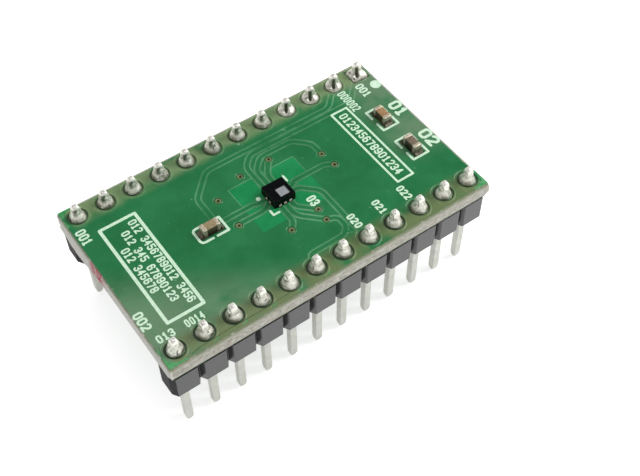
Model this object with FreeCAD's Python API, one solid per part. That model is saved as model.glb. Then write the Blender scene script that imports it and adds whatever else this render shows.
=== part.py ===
import FreeCAD, Part

import math
import os

# A small sensor adapter board that plugs into a 24-way dual-in-line socket.
# +X runs along the pin rows, +Y points to the row that holds pin 1, +Z is up.
# The origin is the centre of the pin grid, in the plane of the pin tips.

Vector = FreeCAD.Vector
UP = Vector(0, 0, 1)
FULL_TURN = 360

# Pin grid, in millimetres like every length here
pin_pitch = 2.54
row_spacing = 15.24
pins_per_row = 12

# Header pins
pin_width = 0.64
pin_reach_below = 6.1
pin_tail_above_board = 1.4
pin_point_length = 0.5
pin_tip_flat = 0.34
pin_top_flat = 0.40

# Header insulators
insulator_height = 2.54
insulator_width = 2.5
insulator_standoff = 0.15
notch_half_mouth = 0.32
notch_depth = 0.5

# Laminate, broken out of its panel along V-scored lines a little inside the strips' outline
board_end_inset = 0.09
board_side_inset = 0.02
laminate_thickness = 1.5
score_depth = 0.56
score_run = 0.18

# Plated holes and their lands
hole_clearance = 0.0475
land_annulus = 0.3
via_hole_diameter = 0.24
via_land_diameter = 0.52

# Sides of the prisms that stand for small round features, which repeat too often to be true circles
seen_side_count = 12
hidden_side_count = 8
dot_side_count = 16
coarse_side_count = 6

# Tracks that run along the rows, measured from the middle of the row
track_outer_inset = 1.92
track_inner_inset = 2.5
track_front_inset = 1.27

# Layers on the laminate
copper_thickness = 0.04
mask_thickness = 0.07
mask_clearance = 0.06
legend_thickness = 0.03
track_width = 0.3
track_ridge = 0.01

# Solder
solder_base_setback = 0.04
solder_skirt_height = 0.36
solder_skirt_narrowing = 0.2
solder_over_pin_corner = 0.04
paste_thickness = 0.05

# Sensor package
sensor_x = 0.37
sensor_y = 0.03
sensor_side = 2.0
sensor_height = 0.75
substrate_thickness = 0.2
sensor_edge_break = 0.04
window_side = 0.9
window_offset_x = 0.22
window_offset_y = -0.3
window_depth = 0.08
window_chamfer = 0.03
die_thickness = 0.3
contact_pitch = 0.5
contact_width = 0.24
contact_height = 0.16
contact_proud = 0.02
contacts_along_x = 3
contacts_along_y = 2
sensor_pad_length = 0.34
sensor_pad_reach = 0.14

# Chip capacitors
capacitor_length = 1.6
capacitor_width = 0.8
capacitor_height = 0.8
capacitor_edge_break = 0.05
terminal_length = 0.36
terminal_thickness = 0.03
capacitor_pad_length = 0.72
capacitor_pad_width = 0.9
capacitor_pad_reach = 0.26
fillet_height = 0.42
fillet_toe_rise = 0.12
fillet_toe_run = 0.1
capacitor_end_inset = 2.6
capacitor_1_y = 2.0
capacitor_2_y = -2.1
capacitor_3_from_sensor = -6.42
capacitor_3_above_sensor = 0.17

# Printed legend
frame_wide_end_inset = 3.47
frame_wide_y = -0.05
frame_wide_length = 10.9
frame_wide_width = 3.45
frame_wide_line = 0.28
frame_long_end_inset = 5.19
frame_long_y = 0.15
frame_long_length = 9.5
frame_long_width = 1.8
frame_long_line = 0.2
outline_line = 0.22
outline_margin_end = 0.56
outline_margin_side = 0.5
outline_gap = 0.7
corner_mark_arm = 0.64
corner_mark_line = 0.2
corner_mark_standoff = 0.58
dot_small_diameter = 0.38
dot_small_standoff = 0.55
dot_small_drop = 0.36
bar_length = 0.74
bar_width = 0.22
bar_standoff = 0.35
bar_overlap = 0.18
dot_pin_diameter = 1.0
dot_pin_offset_x = 0.63
dot_pin_offset_y = -2.0

# Heights of the stack, from the pin tips up
z_insulator_bottom = pin_reach_below
z_insulator_top = z_insulator_bottom + insulator_height
z_board_bottom = z_insulator_top + insulator_standoff
z_laminate_bottom = z_board_bottom + mask_thickness
z_laminate_top = z_laminate_bottom + laminate_thickness
z_mask_top = z_laminate_top + mask_thickness
z_land_top = z_laminate_top + copper_thickness
z_track_top = z_mask_top + track_ridge
z_legend_top = z_mask_top + legend_thickness
z_pin_top = z_mask_top + pin_tail_above_board
z_component_seat = z_land_top + paste_thickness
z_solder_top = z_pin_top - pin_point_length

# What the pin grid and the pins set
row_y = row_spacing / 2
first_pin_x = (pins_per_row - 1) * pin_pitch / 2
strip_length = pins_per_row * pin_pitch
board_length = strip_length - 2 * board_end_inset
board_width = row_spacing + insulator_width - 2 * board_side_inset
pin_corners = pin_width * math.sqrt(2)
hole_diameter = pin_corners + 2 * hole_clearance
land_diameter = hole_diameter + 2 * land_annulus

# Places of the capacitors and of the two printed frames
capacitor_1_x = board_length / 2 - capacitor_end_inset
capacitor_2_x = capacitor_1_x
capacitor_3_x = sensor_x + capacitor_3_from_sensor
capacitor_3_y = sensor_y + capacitor_3_above_sensor
frame_wide_x = -board_length / 2 + frame_wide_end_inset
frame_long_x = board_length / 2 - frame_long_end_inset


def near_sensor(along_x, along_y):
    """A point of the board, given from the middle of the sensor."""
    return sensor_x + along_x, sensor_y + along_y


# Where the vias are drilled
via_places = [
    near_sensor(1.53, 3.75),
    near_sensor(-1.44, 3.54),
    near_sensor(-4.31, 2.4),
    near_sensor(-4.31, -0.72),
    near_sensor(-1.15, -3.54),
    near_sensor(1.73, -4.28),
    near_sensor(1.8, -3.04),
    near_sensor(5.51, 1.67),
    near_sensor(5.69, 0.09),
]


def block(x_low, x_high, y_low, y_high, z_low, z_high):
    """A box between two corners."""
    return Part.makeBox(x_high - x_low, y_high - y_low, z_high - z_low, Vector(x_low, y_low, z_low))


def centred_block(x, y, length, width, z_low, z_high):
    """A box centred on a point of the board, length along X and width along Y."""
    return block(x - length / 2, x + length / 2, y - width / 2, y + width / 2, z_low, z_high)


def polygon_ring(x, y, diameter, sides, z):
    """The corners of a level regular polygon, one of them towards a pin's corner."""
    first = math.pi / 4
    angles = [first + 2 * math.pi * step / sides for step in range(sides)]
    return [Vector(x + diameter / 2 * math.cos(a), y + diameter / 2 * math.sin(a), z) for a in angles]


def square_ring(x, y, side, z):
    """The corners of a level square."""
    return polygon_ring(x, y, side * math.sqrt(2), 4, z)


def stacked(rings):
    """A solid with flat faces through level rings of corners, from the lowest ring to the highest."""
    sides = len(rings[0])
    faces = [Part.Face(Part.makePolygon(ring + ring[:1])) for ring in (rings[0], rings[-1])]
    for low, high in zip(rings, rings[1:]):
        for i in range(sides):
            j = (i + 1) % sides
            faces.append(Part.Face(Part.makePolygon([low[i], low[j], high[j], high[i], low[i]])))
    solid = Part.Solid(Part.Shell(faces))
    if solid.Volume < 0:
        solid.reverse()
    return solid


def round_prism(x, y, diameter, sides, z_low, z_high):
    """An upright prism that stands for a cylinder."""
    return stacked([polygon_ring(x, y, diameter, sides, z) for z in (z_low, z_high)])


def rectangle_ring(length, width, z):
    """The corners of a level rectangle about the origin."""
    x, y = length / 2, width / 2
    return [Vector(-x, -y, z), Vector(x, -y, z), Vector(x, y, z), Vector(-x, y, z)]


def prism(points, z_low, z_high):
    """A closed outline of plan points, extruded upwards."""
    corners = [Vector(x, y, z_low) for x, y in points]
    face = Part.Face(Part.makePolygon(corners + corners[:1]))
    return face.extrude(Vector(0, 0, z_high - z_low))


def group(shapes):
    """Several separate solids that share one node."""
    return Part.makeCompound(shapes)


def pin_x(way):
    """The place along X of a way, counted from 0 at the pin 1 end."""
    return first_pin_x - way * pin_pitch


def rear_row_places():
    """Pins 1 to 12, from the +X end to the -X end."""
    return [(pin_x(way), row_y) for way in range(pins_per_row)]


def front_row_places():
    """Pins 13 to 24, from the -X end back to the +X end."""
    return [(pin_x(way), -row_y) for way in reversed(range(pins_per_row))]


def is_pin_one(x, y):
    """Whether a place of the grid is pin 1's, which has the square land."""
    return (x, y) == rear_row_places()[0]


def header_pin(x, y):
    """A square pin with a four-sided point at each end."""
    return stacked(
        [
            square_ring(x, y, pin_tip_flat, 0),
            square_ring(x, y, pin_width, pin_point_length),
            square_ring(x, y, pin_width, z_pin_top - pin_point_length),
            square_ring(x, y, pin_top_flat, z_pin_top),
        ]
    )


def insulator_outline(y):
    """The plan outline of a header strip: a V notch between each two ways and half a notch at the ends."""
    half_width = insulator_width / 2
    half_length = strip_length / 2
    side = [(-half_length, -half_width + notch_depth), (-half_length + notch_half_mouth, -half_width)]
    for joint in range(1, pins_per_row):
        joint_x = -half_length + joint * pin_pitch
        side.append((joint_x - notch_half_mouth, -half_width))
        side.append((joint_x, -half_width + notch_depth))
        side.append((joint_x + notch_half_mouth, -half_width))
    side.append((half_length - notch_half_mouth, -half_width))
    side.append((half_length, -half_width + notch_depth))
    return [(px, y + py) for px, py in side] + [(-px, y - py) for px, py in side]


def header_insulator(places):
    """A moulded strip whose square holes grip the pins."""
    row = places[0][1]
    strip = prism(insulator_outline(row), z_insulator_bottom, z_insulator_top)
    ends = (z_insulator_bottom, z_insulator_top)
    return strip.cut([centred_block(x, y, pin_width, pin_width, *ends) for x, y in places])


def circuit_board(places):
    """The laminate: two scored bevels with the broken web between them, drilled for pins and vias."""
    web_length = board_length + 2 * score_run
    web_width = board_width + 2 * score_run
    board = stacked(
        [
            rectangle_ring(board_length, board_width, z_laminate_bottom),
            rectangle_ring(web_length, web_width, z_laminate_bottom + score_depth),
            rectangle_ring(web_length, web_width, z_laminate_top - score_depth),
            rectangle_ring(board_length, board_width, z_laminate_top),
        ]
    )
    ends = (z_laminate_bottom, z_laminate_top)
    drills = [round_prism(x, y, hole_diameter, hidden_side_count, *ends) for x, y in places]
    drills += [round_prism(x, y, via_hole_diameter, coarse_side_count, *ends) for x, y in via_places]
    return board.cut(drills)


def land_blank(x, y, grown, z_low, z_high):
    """A slab in the outline of a place's land, grown all round: square at pin 1, round elsewhere."""
    size = land_diameter + 2 * grown
    if is_pin_one(x, y):
        return centred_block(x, y, size, size, z_low, z_high)
    return round_prism(x, y, size, seen_side_count, z_low, z_high)


def soldered_land(x, y):
    """A plated land, with the solder that fills its hole and climbs the pin in a hollow cone."""
    base = land_diameter - 2 * solder_base_setback
    skirt = base - 2 * solder_skirt_narrowing
    neck = pin_corners + 2 * solder_over_pin_corner
    cone = stacked(
        [
            polygon_ring(x, y, base, seen_side_count, z_land_top),
            polygon_ring(x, y, skirt, seen_side_count, z_land_top + solder_skirt_height),
            polygon_ring(x, y, neck, seen_side_count, z_solder_top),
        ]
    )
    land = land_blank(x, y, 0, z_laminate_top, z_land_top)
    filling = round_prism(x, y, hole_diameter, hidden_side_count, z_laminate_bottom, z_laminate_top)
    shank = centred_block(x, y, pin_width, pin_width, z_laminate_bottom, z_solder_top)
    return filling.fuse([land, cone]).removeSplitter().cut(shank)


def via_ring(x, y):
    """The plated ring round a small via."""
    ring = round_prism(x, y, via_land_diameter, coarse_side_count, z_laminate_top, z_land_top)
    return ring.cut(round_prism(x, y, via_hole_diameter, coarse_side_count, z_laminate_top, z_land_top))


# Each capacitor: centre, and whether its long side lies along Y
capacitors = [
    (capacitor_1_x, capacitor_1_y, True),
    (capacitor_2_x, capacitor_2_y, True),
    (capacitor_3_x, capacitor_3_y, False),
]


def place_component(shape, x, y, lies_along_y):
    """Turns a shape made along X about the origin to its side of the board, and moves it there."""
    placed = shape.copy()
    if lies_along_y:
        placed.rotate(Vector(0, 0, 0), UP, FULL_TURN / 4)
    placed.translate(Vector(x, y, 0))
    return placed


def capacitor_envelope(length, trim):
    """A capacitor's block with its long edges broken, made smaller by trim on its four sides."""
    half = capacitor_width / 2 - trim
    low = z_component_seat + trim
    high = z_component_seat + capacitor_height - trim
    cut = capacitor_edge_break
    section = [
        (-half + cut, low),
        (half - cut, low),
        (half, low + cut),
        (half, high - cut),
        (half - cut, high),
        (-half + cut, high),
        (-half, high - cut),
        (-half, low + cut),
    ]
    corners = [Vector(-length / 2, y, z) for y, z in section]
    return Part.Face(Part.makePolygon(corners + corners[:1])).extrude(Vector(length, 0, 0))


def capacitor_body():
    """The ceramic block between and inside the end caps."""
    return capacitor_envelope(capacitor_length - 2 * terminal_thickness, terminal_thickness)


def capacitor_terminals():
    """The two metal end caps that wrap five faces of the block."""
    outer = capacitor_envelope(capacitor_length, 0)
    middle = capacitor_length - 2 * terminal_length
    waist_top = z_component_seat + 2 * capacitor_height
    waist = centred_block(0, 0, middle, 2 * capacitor_width, z_laminate_top, waist_top)
    return outer.cut([waist, capacitor_body()])


def capacitor_pad_spans():
    """The inner and outer ends along X of the two pads."""
    outer = capacitor_length / 2 + capacitor_pad_reach
    inner = outer - capacitor_pad_length
    return [(-outer, -inner), (inner, outer)]


def capacitor_pads():
    """The two copper pads under a capacitor."""
    half = capacitor_pad_width / 2
    return [block(low, high, -half, half, z_laminate_top, z_land_top) for low, high in capacitor_pad_spans()]


def capacitor_solder():
    """Solder under each end cap, with a hollow fillet up its end face."""
    end = capacitor_length / 2
    toe = end + capacitor_pad_reach
    heel = toe - capacitor_pad_length
    half = capacitor_width / 2
    section = [
        (heel, z_land_top),
        (toe, z_land_top),
        (toe, z_component_seat),
        (end + fillet_toe_run, z_component_seat + fillet_toe_rise),
        (end, z_component_seat + fillet_height),
        (end, z_component_seat),
        (heel, z_component_seat),
    ]
    corners = [Vector(x, -half, z) for x, z in section]
    right = Part.Face(Part.makePolygon(corners + corners[:1])).extrude(Vector(0, capacitor_width, 0))
    left = right.copy()
    left.rotate(Vector(0, 0, 0), UP, FULL_TURN / 2)
    return [left, right]


def sensor_contact_places():
    """Each contact as (x, y, direction out of the package)."""
    places = []
    half = sensor_side / 2
    for index in range(contacts_along_x):
        offset = (index - (contacts_along_x - 1) / 2) * contact_pitch
        places.append((sensor_x + offset, sensor_y - half, (0, -1)))
        places.append((sensor_x + offset, sensor_y + half, (0, 1)))
    for index in range(contacts_along_y):
        offset = (index - (contacts_along_y - 1) / 2) * contact_pitch
        places.append((sensor_x - half, sensor_y + offset, (-1, 0)))
        places.append((sensor_x + half, sensor_y + offset, (1, 0)))
    return places


def beside_sensor(place, inward, outward, z_low, z_high):
    """A contact-wide box across the edge of the package, from inward of it to outward of it."""
    x, y, (dx, dy) = place
    half = contact_width / 2
    if dx:
        ends = sorted((x - dx * inward, x + dx * outward))
        return block(ends[0], ends[1], y - half, y + half, z_low, z_high)
    ends = sorted((y - dy * inward, y + dy * outward))
    return block(x - half, x + half, ends[0], ends[1], z_low, z_high)


def sensor_contacts():
    """Ten plated end contacts, let into the edge of the substrate and a little proud of it."""
    reaches = (sensor_pad_length - sensor_pad_reach, contact_proud)
    ends = (z_component_seat, z_component_seat + contact_height)
    return [beside_sensor(place, *reaches, *ends) for place in sensor_contact_places()]


def sensor_substrate():
    """The thin base that carries the chip, cut out for its contacts."""
    ends = (z_component_seat, z_component_seat + substrate_thickness)
    return centred_block(sensor_x, sensor_y, sensor_side, sensor_side, *ends).cut(sensor_contacts())


def window_centre():
    """The middle of the opening in the moulding."""
    return sensor_x + window_offset_x, sensor_y + window_offset_y


def sensor_die():
    """The silicon that shows in the window."""
    x, y = window_centre()
    z_high = z_component_seat + sensor_height - window_depth
    return centred_block(x, y, window_side, window_side, z_high - die_thickness, z_high)


def sensor_package():
    """The black moulding, with its top edges broken and a chamfered square window over the die."""
    z_low = z_component_seat + substrate_thickness
    z_high = z_component_seat + sensor_height
    top_side = sensor_side - 2 * sensor_edge_break
    body = stacked(
        [
            square_ring(sensor_x, sensor_y, sensor_side, z_low),
            square_ring(sensor_x, sensor_y, sensor_side, z_high - sensor_edge_break),
            square_ring(sensor_x, sensor_y, top_side, z_high),
        ]
    )
    x, y = window_centre()
    shaft = stacked(
        [
            square_ring(x, y, window_side, z_high - window_depth - die_thickness),
            square_ring(x, y, window_side, z_high - window_chamfer),
            square_ring(x, y, window_side + 2 * window_chamfer, z_high),
        ]
    )
    return body.cut(shaft)


def sensor_pads():
    """The copper pads under the contacts, reaching out past the package."""
    reaches = (sensor_pad_length - sensor_pad_reach, sensor_pad_reach)
    ends = (z_laminate_top, z_land_top)
    return [beside_sensor(place, *reaches, *ends) for place in sensor_contact_places()]


def sensor_paste():
    """The solder between each pad and its contact, with a foot outside the package."""
    reaches = (sensor_pad_length - sensor_pad_reach, sensor_pad_reach)
    ends = (z_land_top, z_component_seat)
    return [beside_sensor(place, *reaches, *ends) for place in sensor_contact_places()]


def track(points, width):
    """A track of even width along a bent centre line, with mitred corners and its coat of lacquer."""
    half = width / 2
    left, right = [], []
    for index, (x, y) in enumerate(points):
        before = points[max(index - 1, 0)]
        after = points[min(index + 1, len(points) - 1)]
        into = math.atan2(y - before[1], x - before[0]) if index else math.atan2(after[1] - y, after[0] - x)
        out = math.atan2(after[1] - y, after[0] - x) if index < len(points) - 1 else into
        lean = (into + out) / 2
        reach = half / math.cos((out - into) / 2)
        left.append((x - math.sin(lean) * reach, y + math.cos(lean) * reach))
        right.append((x + math.sin(lean) * reach, y - math.cos(lean) * reach))
    return prism(left + right[::-1], z_laminate_top, z_track_top)


def sensor_exit(direction, index):
    """The outer end of one sensor pad, on the side that direction points to."""
    place = [p for p in sensor_contact_places() if p[2] == direction][index]
    x, y, (dx, dy) = place
    return x + dx * sensor_pad_reach, y + dy * sensor_pad_reach


def track_routes():
    """The centre line of each track, from its pad, land or via to the other end."""
    left, right, back, front = (-1, 0), (1, 0), (0, 1), (0, -1)
    pin_1, pin_2 = rear_row_places()[:2]
    pin_18 = front_row_places()[5]
    pin_20 = front_row_places()[7]
    capacitor_3_pad = (capacitor_3_x + capacitor_length / 2, capacitor_3_y)
    via_back_right, via_back_left, _, via_left, via_front_left, via_front, via_front_right = via_places[:7]
    via_right_back, via_right = via_places[7:]
    outer_y = row_y - track_outer_inset
    inner_y = row_y - track_inner_inset
    front_y = track_front_inset - row_y
    outer_bend = (pin_2[0] - track_outer_inset, outer_y)
    inner_bend = (pin_1[0] - track_inner_inset, inner_y)
    front_left = (sensor_x - 1.37, front_y)
    front_right = (sensor_x + 2.03, front_y)
    at = near_sensor
    return [
        [capacitor_3_pad, at(-5.62, 3.47), (sensor_x - 3.47, outer_y), outer_bend, pin_2],
        [capacitor_3_pad, at(-5.07, 0.39), at(-2.17, 0.39), at(-1.97, 0.25), sensor_exit(left, 1)],
        [via_left, at(-3.97, -0.63), at(-1.77, -0.63), sensor_exit(left, 0)],
        [sensor_exit(back, 0), at(-0.5, 4.07), (sensor_x + 0.53, inner_y), inner_bend, pin_1],
        [sensor_exit(back, 1), at(0, 3.27), at(1.08, 4.37), at(4.23, 4.37), at(5.51, 3.07), via_right_back],
        [sensor_exit(back, 2), at(0.5, 2.37), via_back_right],
        [sensor_exit(front, 0), at(-0.5, -2.93), via_front_left],
        [sensor_exit(front, 1), at(0, -2.53), via_front],
        [sensor_exit(front, 2), at(0.5, -1.73), via_front_right],
        [sensor_exit(right, 0), at(1.83, -0.25), at(3.15, -1.57), at(3.15, -6.03), pin_20],
        [sensor_exit(right, 1), at(1.58, 0.25), at(1.88, 0.57), at(5.03, 0.57), via_right],
        [pin_18, front_left, front_right, at(2.63, -5.78), at(2.63, -4.63), via_front],
    ]


def copper_tracks(places):
    """All the tracks with the lacquer that coats them, trimmed where the lacquer is open."""
    trims = mask_openings(places, z_track_top)
    return [track(route, track_width).cut(trims) for route in track_routes()]


def mask_openings(places, z_high):
    """The tools that open the upper lacquer over the lands, the via rings and the component pads."""
    openings = [land_blank(x, y, mask_clearance, z_laminate_top, z_high) for x, y in places]
    via_opening = via_land_diameter + 2 * mask_clearance
    for x, y in via_places:
        openings.append(round_prism(x, y, via_opening, coarse_side_count, z_laminate_top, z_high))
    length = capacitor_length + 2 * capacitor_pad_reach + 2 * mask_clearance
    width = capacitor_pad_width + 2 * mask_clearance
    for x, y, lies_along_y in capacitors:
        opening = centred_block(0, 0, length, width, z_laminate_top, z_high)
        openings.append(place_component(opening, x, y, lies_along_y))
    side = sensor_side + 2 * sensor_pad_reach + 2 * mask_clearance
    openings.append(centred_block(sensor_x, sensor_y, side, side, z_laminate_top, z_high))
    return openings


def solder_mask_top(places, tracks):
    """The upper lacquer film, parted by the tracks' ridges and open over the lands, vias and pads."""
    film = centred_block(0, 0, board_length, board_width, z_laminate_top, z_mask_top)
    return film.cut(mask_openings(places, z_mask_top) + tracks)


def solder_mask_bottom(places):
    """The lower lacquer film, open at the pin holes and closed over the vias."""
    ends = (z_board_bottom, z_laminate_bottom)
    film = centred_block(0, 0, board_length, board_width, *ends)
    return film.cut([round_prism(x, y, land_diameter, coarse_side_count, *ends) for x, y in places])


def printed_frame(x, y, length, width, line):
    """A printed rectangle, length along Y and width along X."""
    outer = centred_block(x, y, width, length, z_mask_top, z_legend_top)
    return outer.cut(centred_block(x, y, width - 2 * line, length - 2 * line, z_mask_top, z_legend_top))


def printed_outline(x, y, lies_along_y):
    """Two brackets that close in a capacitor from its ends."""
    length = capacitor_length + 2 * outline_margin_end
    width = capacitor_width + 2 * outline_margin_side
    ends = (z_mask_top, z_legend_top)
    outer = centred_block(0, 0, length, width, *ends)
    inner = centred_block(0, 0, length - 2 * outline_line, width - 2 * outline_line, *ends)
    gap = centred_block(0, 0, outline_gap, width, *ends)
    return place_component(outer.cut([inner, gap]), x, y, lies_along_y)


def legend_marks(tracks):
    """Frames, component outlines, the chip's corner mark, bar and dot, and the dot by pin 1."""
    half = sensor_side / 2
    corner_x = sensor_x - half - corner_mark_standoff
    corner_y = sensor_y - half - corner_mark_standoff + corner_mark_line / 2
    corner = [
        (corner_x, corner_y),
        (corner_x + corner_mark_arm, corner_y),
        (corner_x + corner_mark_arm, corner_y + corner_mark_line),
        (corner_x + corner_mark_line, corner_y + corner_mark_line),
        (corner_x + corner_mark_line, corner_y + corner_mark_arm),
        (corner_x, corner_y + corner_mark_arm),
    ]
    bar_x = sensor_x + half + bar_standoff + bar_width / 2
    bar_y = sensor_y + half - bar_overlap + bar_length / 2
    dot_x = sensor_x - half - dot_small_standoff
    dot_y = sensor_y + half - dot_small_drop
    pin_dot_x = rear_row_places()[0][0] + dot_pin_offset_x
    pin_dot_y = rear_row_places()[0][1] + dot_pin_offset_y
    marks = [
        printed_frame(frame_wide_x, frame_wide_y, frame_wide_length, frame_wide_width, frame_wide_line),
        printed_frame(frame_long_x, frame_long_y, frame_long_length, frame_long_width, frame_long_line),
        prism(corner, z_mask_top, z_legend_top),
        centred_block(bar_x, bar_y, bar_width, bar_length, z_mask_top, z_legend_top),
        round_prism(dot_x, dot_y, dot_small_diameter, seen_side_count, z_mask_top, z_legend_top),
        round_prism(pin_dot_x, pin_dot_y, dot_pin_diameter, dot_side_count, z_mask_top, z_legend_top),
    ]
    marks += [printed_outline(*capacitor) for capacitor in capacitors]
    return [mark.cut(tracks) for mark in marks]


def main():
    os.makedirs("parts", exist_ok=True)
    rear = rear_row_places()
    front = front_row_places()
    places = rear + front
    pads = sensor_pads()
    solder = sensor_paste()
    nodes = {}
    for number, (x, y, lies_along_y) in enumerate(capacitors, start=1):
        nodes[f"capacitor_{number}_body"] = place_component(capacitor_body(), x, y, lies_along_y)
        nodes[f"capacitor_{number}_terminals"] = place_component(capacitor_terminals(), x, y, lies_along_y)
        pads += [place_component(pad, x, y, lies_along_y) for pad in capacitor_pads()]
        solder += [place_component(fillet, x, y, lies_along_y) for fillet in capacitor_solder()]
    tracks = copper_tracks(places)
    nodes["circuit_board"] = circuit_board(places)
    nodes["copper_tracks"] = group(tracks)
    nodes["component_pads"] = group(pads)
    nodes["component_solder"] = group(solder)
    nodes["solder_mask_top"] = solder_mask_top(places, tracks)
    nodes["solder_mask_bottom"] = solder_mask_bottom(places)
    nodes["soldered_lands_rear"] = group([soldered_land(x, y) for x, y in rear])
    nodes["soldered_lands_front"] = group([soldered_land(x, y) for x, y in front])
    nodes["via_rings"] = group([via_ring(x, y) for x, y in via_places])
    nodes["header_insulator_rear"] = header_insulator(rear)
    nodes["header_insulator_front"] = header_insulator(front)
    nodes["sensor_substrate"] = sensor_substrate()
    nodes["sensor_package"] = sensor_package()
    nodes["sensor_die"] = sensor_die()
    nodes["sensor_contacts"] = group(sensor_contacts())
    nodes["legend_marks"] = group(legend_marks(tracks))
    for number, (x, y) in enumerate(places, start=1):
        nodes[f"header_pin_{number:02d}"] = header_pin(x, y)
    for name, shape in nodes.items():
        shape.exportStep(f"parts/{name}.step")
        print(name, len(shape.Solids), "solids", "valid" if shape.isValid() else "NOT VALID")


main()
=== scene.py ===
"""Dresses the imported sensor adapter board: laminate, lacquer, print, solder, pins, strips and chips."""

from __future__ import annotations

import logging
import math
from dataclasses import dataclass, field
from enum import IntEnum
from typing import Any, Sequence

import bmesh
import bpy
from mathutils import Matrix, Vector, noise
from mathutils.geometry import delaunay_2d_cdt


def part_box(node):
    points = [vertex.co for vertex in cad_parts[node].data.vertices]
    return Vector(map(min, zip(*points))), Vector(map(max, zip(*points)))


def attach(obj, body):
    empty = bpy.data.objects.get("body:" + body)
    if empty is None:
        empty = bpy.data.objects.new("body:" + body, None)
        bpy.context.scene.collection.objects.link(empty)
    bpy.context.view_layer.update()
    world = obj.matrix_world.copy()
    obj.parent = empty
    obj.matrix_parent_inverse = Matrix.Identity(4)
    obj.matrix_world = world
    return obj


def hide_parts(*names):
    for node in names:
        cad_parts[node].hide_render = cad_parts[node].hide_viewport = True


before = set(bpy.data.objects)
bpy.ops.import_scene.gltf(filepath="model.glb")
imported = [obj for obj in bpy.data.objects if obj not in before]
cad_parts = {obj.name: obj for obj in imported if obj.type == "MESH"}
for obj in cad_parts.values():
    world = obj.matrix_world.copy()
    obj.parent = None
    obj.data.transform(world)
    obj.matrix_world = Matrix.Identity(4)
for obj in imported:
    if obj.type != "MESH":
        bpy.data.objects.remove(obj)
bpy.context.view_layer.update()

LOG = logging.getLogger("adapter_board")
MM = 0.001
BODY = "root"

Point = tuple[float, float]
Spot = tuple[float, float, float]
Ring = list[Point]
Rgba = tuple[float, float, float, float]
Mesh = bpy.types.Mesh
Tree = bpy.types.NodeTree
Socket = bpy.types.NodeSocket


def linear(code: str) -> Rgba:
    """Turns an sRGB colour to the linear one that shaders use.

    Args:
        code: Six hex digits after a hash.

    Returns:
        Linear red, green, blue and a full alpha.
    """
    channels = [int(code[i : i + 2], 16) / 255 for i in (1, 3, 5)]
    red, green, blue = (c / 12.92 if c <= 0.04045 else ((c + 0.055) / 1.055) ** 2.4 for c in channels)
    return red, green, blue, 1.0


def scale_for(size_mm: float) -> float:
    """Gives the texture scale whose features measure size_mm on an object in metres."""
    return 1.0 / (size_mm * MM)


def add_node(
    tree: Tree,
    kind: str,
    values: dict[Any, Any] | None = None,
    links: dict[Any, Socket] | None = None,
    stops: Sequence[tuple[float, str]] = (),
    **settings: str,
) -> bpy.types.Node:
    """Adds one node.

    Args:
        tree: The tree that gets it.
        kind: Its type name.
        values: Input values by socket name or index.
        links: Output sockets to join to its inputs, by socket name or index.
        stops: Places and hex colours, for a colour ramp.
        settings: Properties to set on the node before its inputs, such as its operation.

    Returns:
        The new node.
    """
    made = tree.nodes.new(kind)
    for name, value in settings.items():
        setattr(made, name, value)
    for key, value in (values or {}).items():
        made.inputs[key].default_value = value
    for key, socket in (links or {}).items():
        tree.links.new(socket, made.inputs[key])
    for index, (place, code) in enumerate(stops):
        elements = made.color_ramp.elements
        element = elements[index] if index < 2 else elements.new(place)
        element.position = place
        element.color = linear(code)
    return made


@dataclass(frozen=True)
class Finish:
    """A real surface whose colour and gloss wander between two tones at one grain size."""

    name: str
    tone_low: str
    tone_high: str
    grain_mm: float
    rough_low: float
    rough_high: float
    metallic: float = 0.0
    ior: float = 1.5
    relief_mm: float = 0.004
    relief_size_mm: float = 0.12

    def material(self) -> bpy.types.Material:
        """Builds the material once and returns it."""
        made = bpy.data.materials.get(self.name)
        if made is None:
            made = bpy.data.materials.new(self.name)
            made.use_nodes = True
            self.paint(made.node_tree)
        return made

    def paint(self, tree: Tree) -> None:
        """Joins colour, roughness and bump to the shader."""
        shader = tree.nodes["Principled BSDF"]
        shader.inputs["Metallic"].default_value = self.metallic
        if not self.metallic:
            shader.inputs["IOR"].default_value = self.ior
        place = add_node(tree, "ShaderNodeTexCoord").outputs["Object"]
        grain = add_node(
            tree,
            "ShaderNodeTexNoise",
            values={"Scale": scale_for(self.grain_mm), "Detail": 5.0, "Roughness": 0.6},
            links={"Vector": place},
        ).outputs[0]
        tree.links.new(self.colour(tree, place, grain), shader.inputs["Base Color"])
        rough = add_node(
            tree,
            "ShaderNodeMapRange",
            values={"From Min": 0.3, "From Max": 0.7, "To Min": self.rough_low, "To Max": self.rough_high},
            links={"Value": grain},
        )
        tree.links.new(rough.outputs[0], shader.inputs["Roughness"])
        fine = self.relief(tree, place)
        bump = add_node(
            tree,
            "ShaderNodeBump",
            values={"Strength": 1.0, "Distance": self.relief_mm * MM},
            links={"Height": fine},
        )
        tree.links.new(bump.outputs[0], shader.inputs["Normal"])

    def colour(self, tree: Tree, place: Socket, grain: Socket) -> Socket:
        """Gives the colour socket: here the two tones, mixed by the grain."""
        return add_node(
            tree,
            "ShaderNodeValToRGB",
            links={0: grain},
            stops=((0.33, self.tone_low), (0.67, self.tone_high)),
        ).outputs[0]

    def relief(self, tree: Tree, place: Socket) -> Socket:
        """Gives the height socket of the fine relief."""
        return add_node(
            tree,
            "ShaderNodeTexNoise",
            values={"Scale": scale_for(self.relief_size_mm), "Detail": 3.0},
            links={"Vector": place},
        ).outputs[0]


def blend(tree: Tree, under: Socket, code: str, amount: Socket) -> Socket:
    """Lays a flat colour over a colour socket by an amount socket and returns the result."""
    values, links = {7: linear(code)}, {0: amount, 6: under}
    return add_node(tree, "ShaderNodeMix", values, links, data_type="RGBA").outputs[2]


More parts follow.
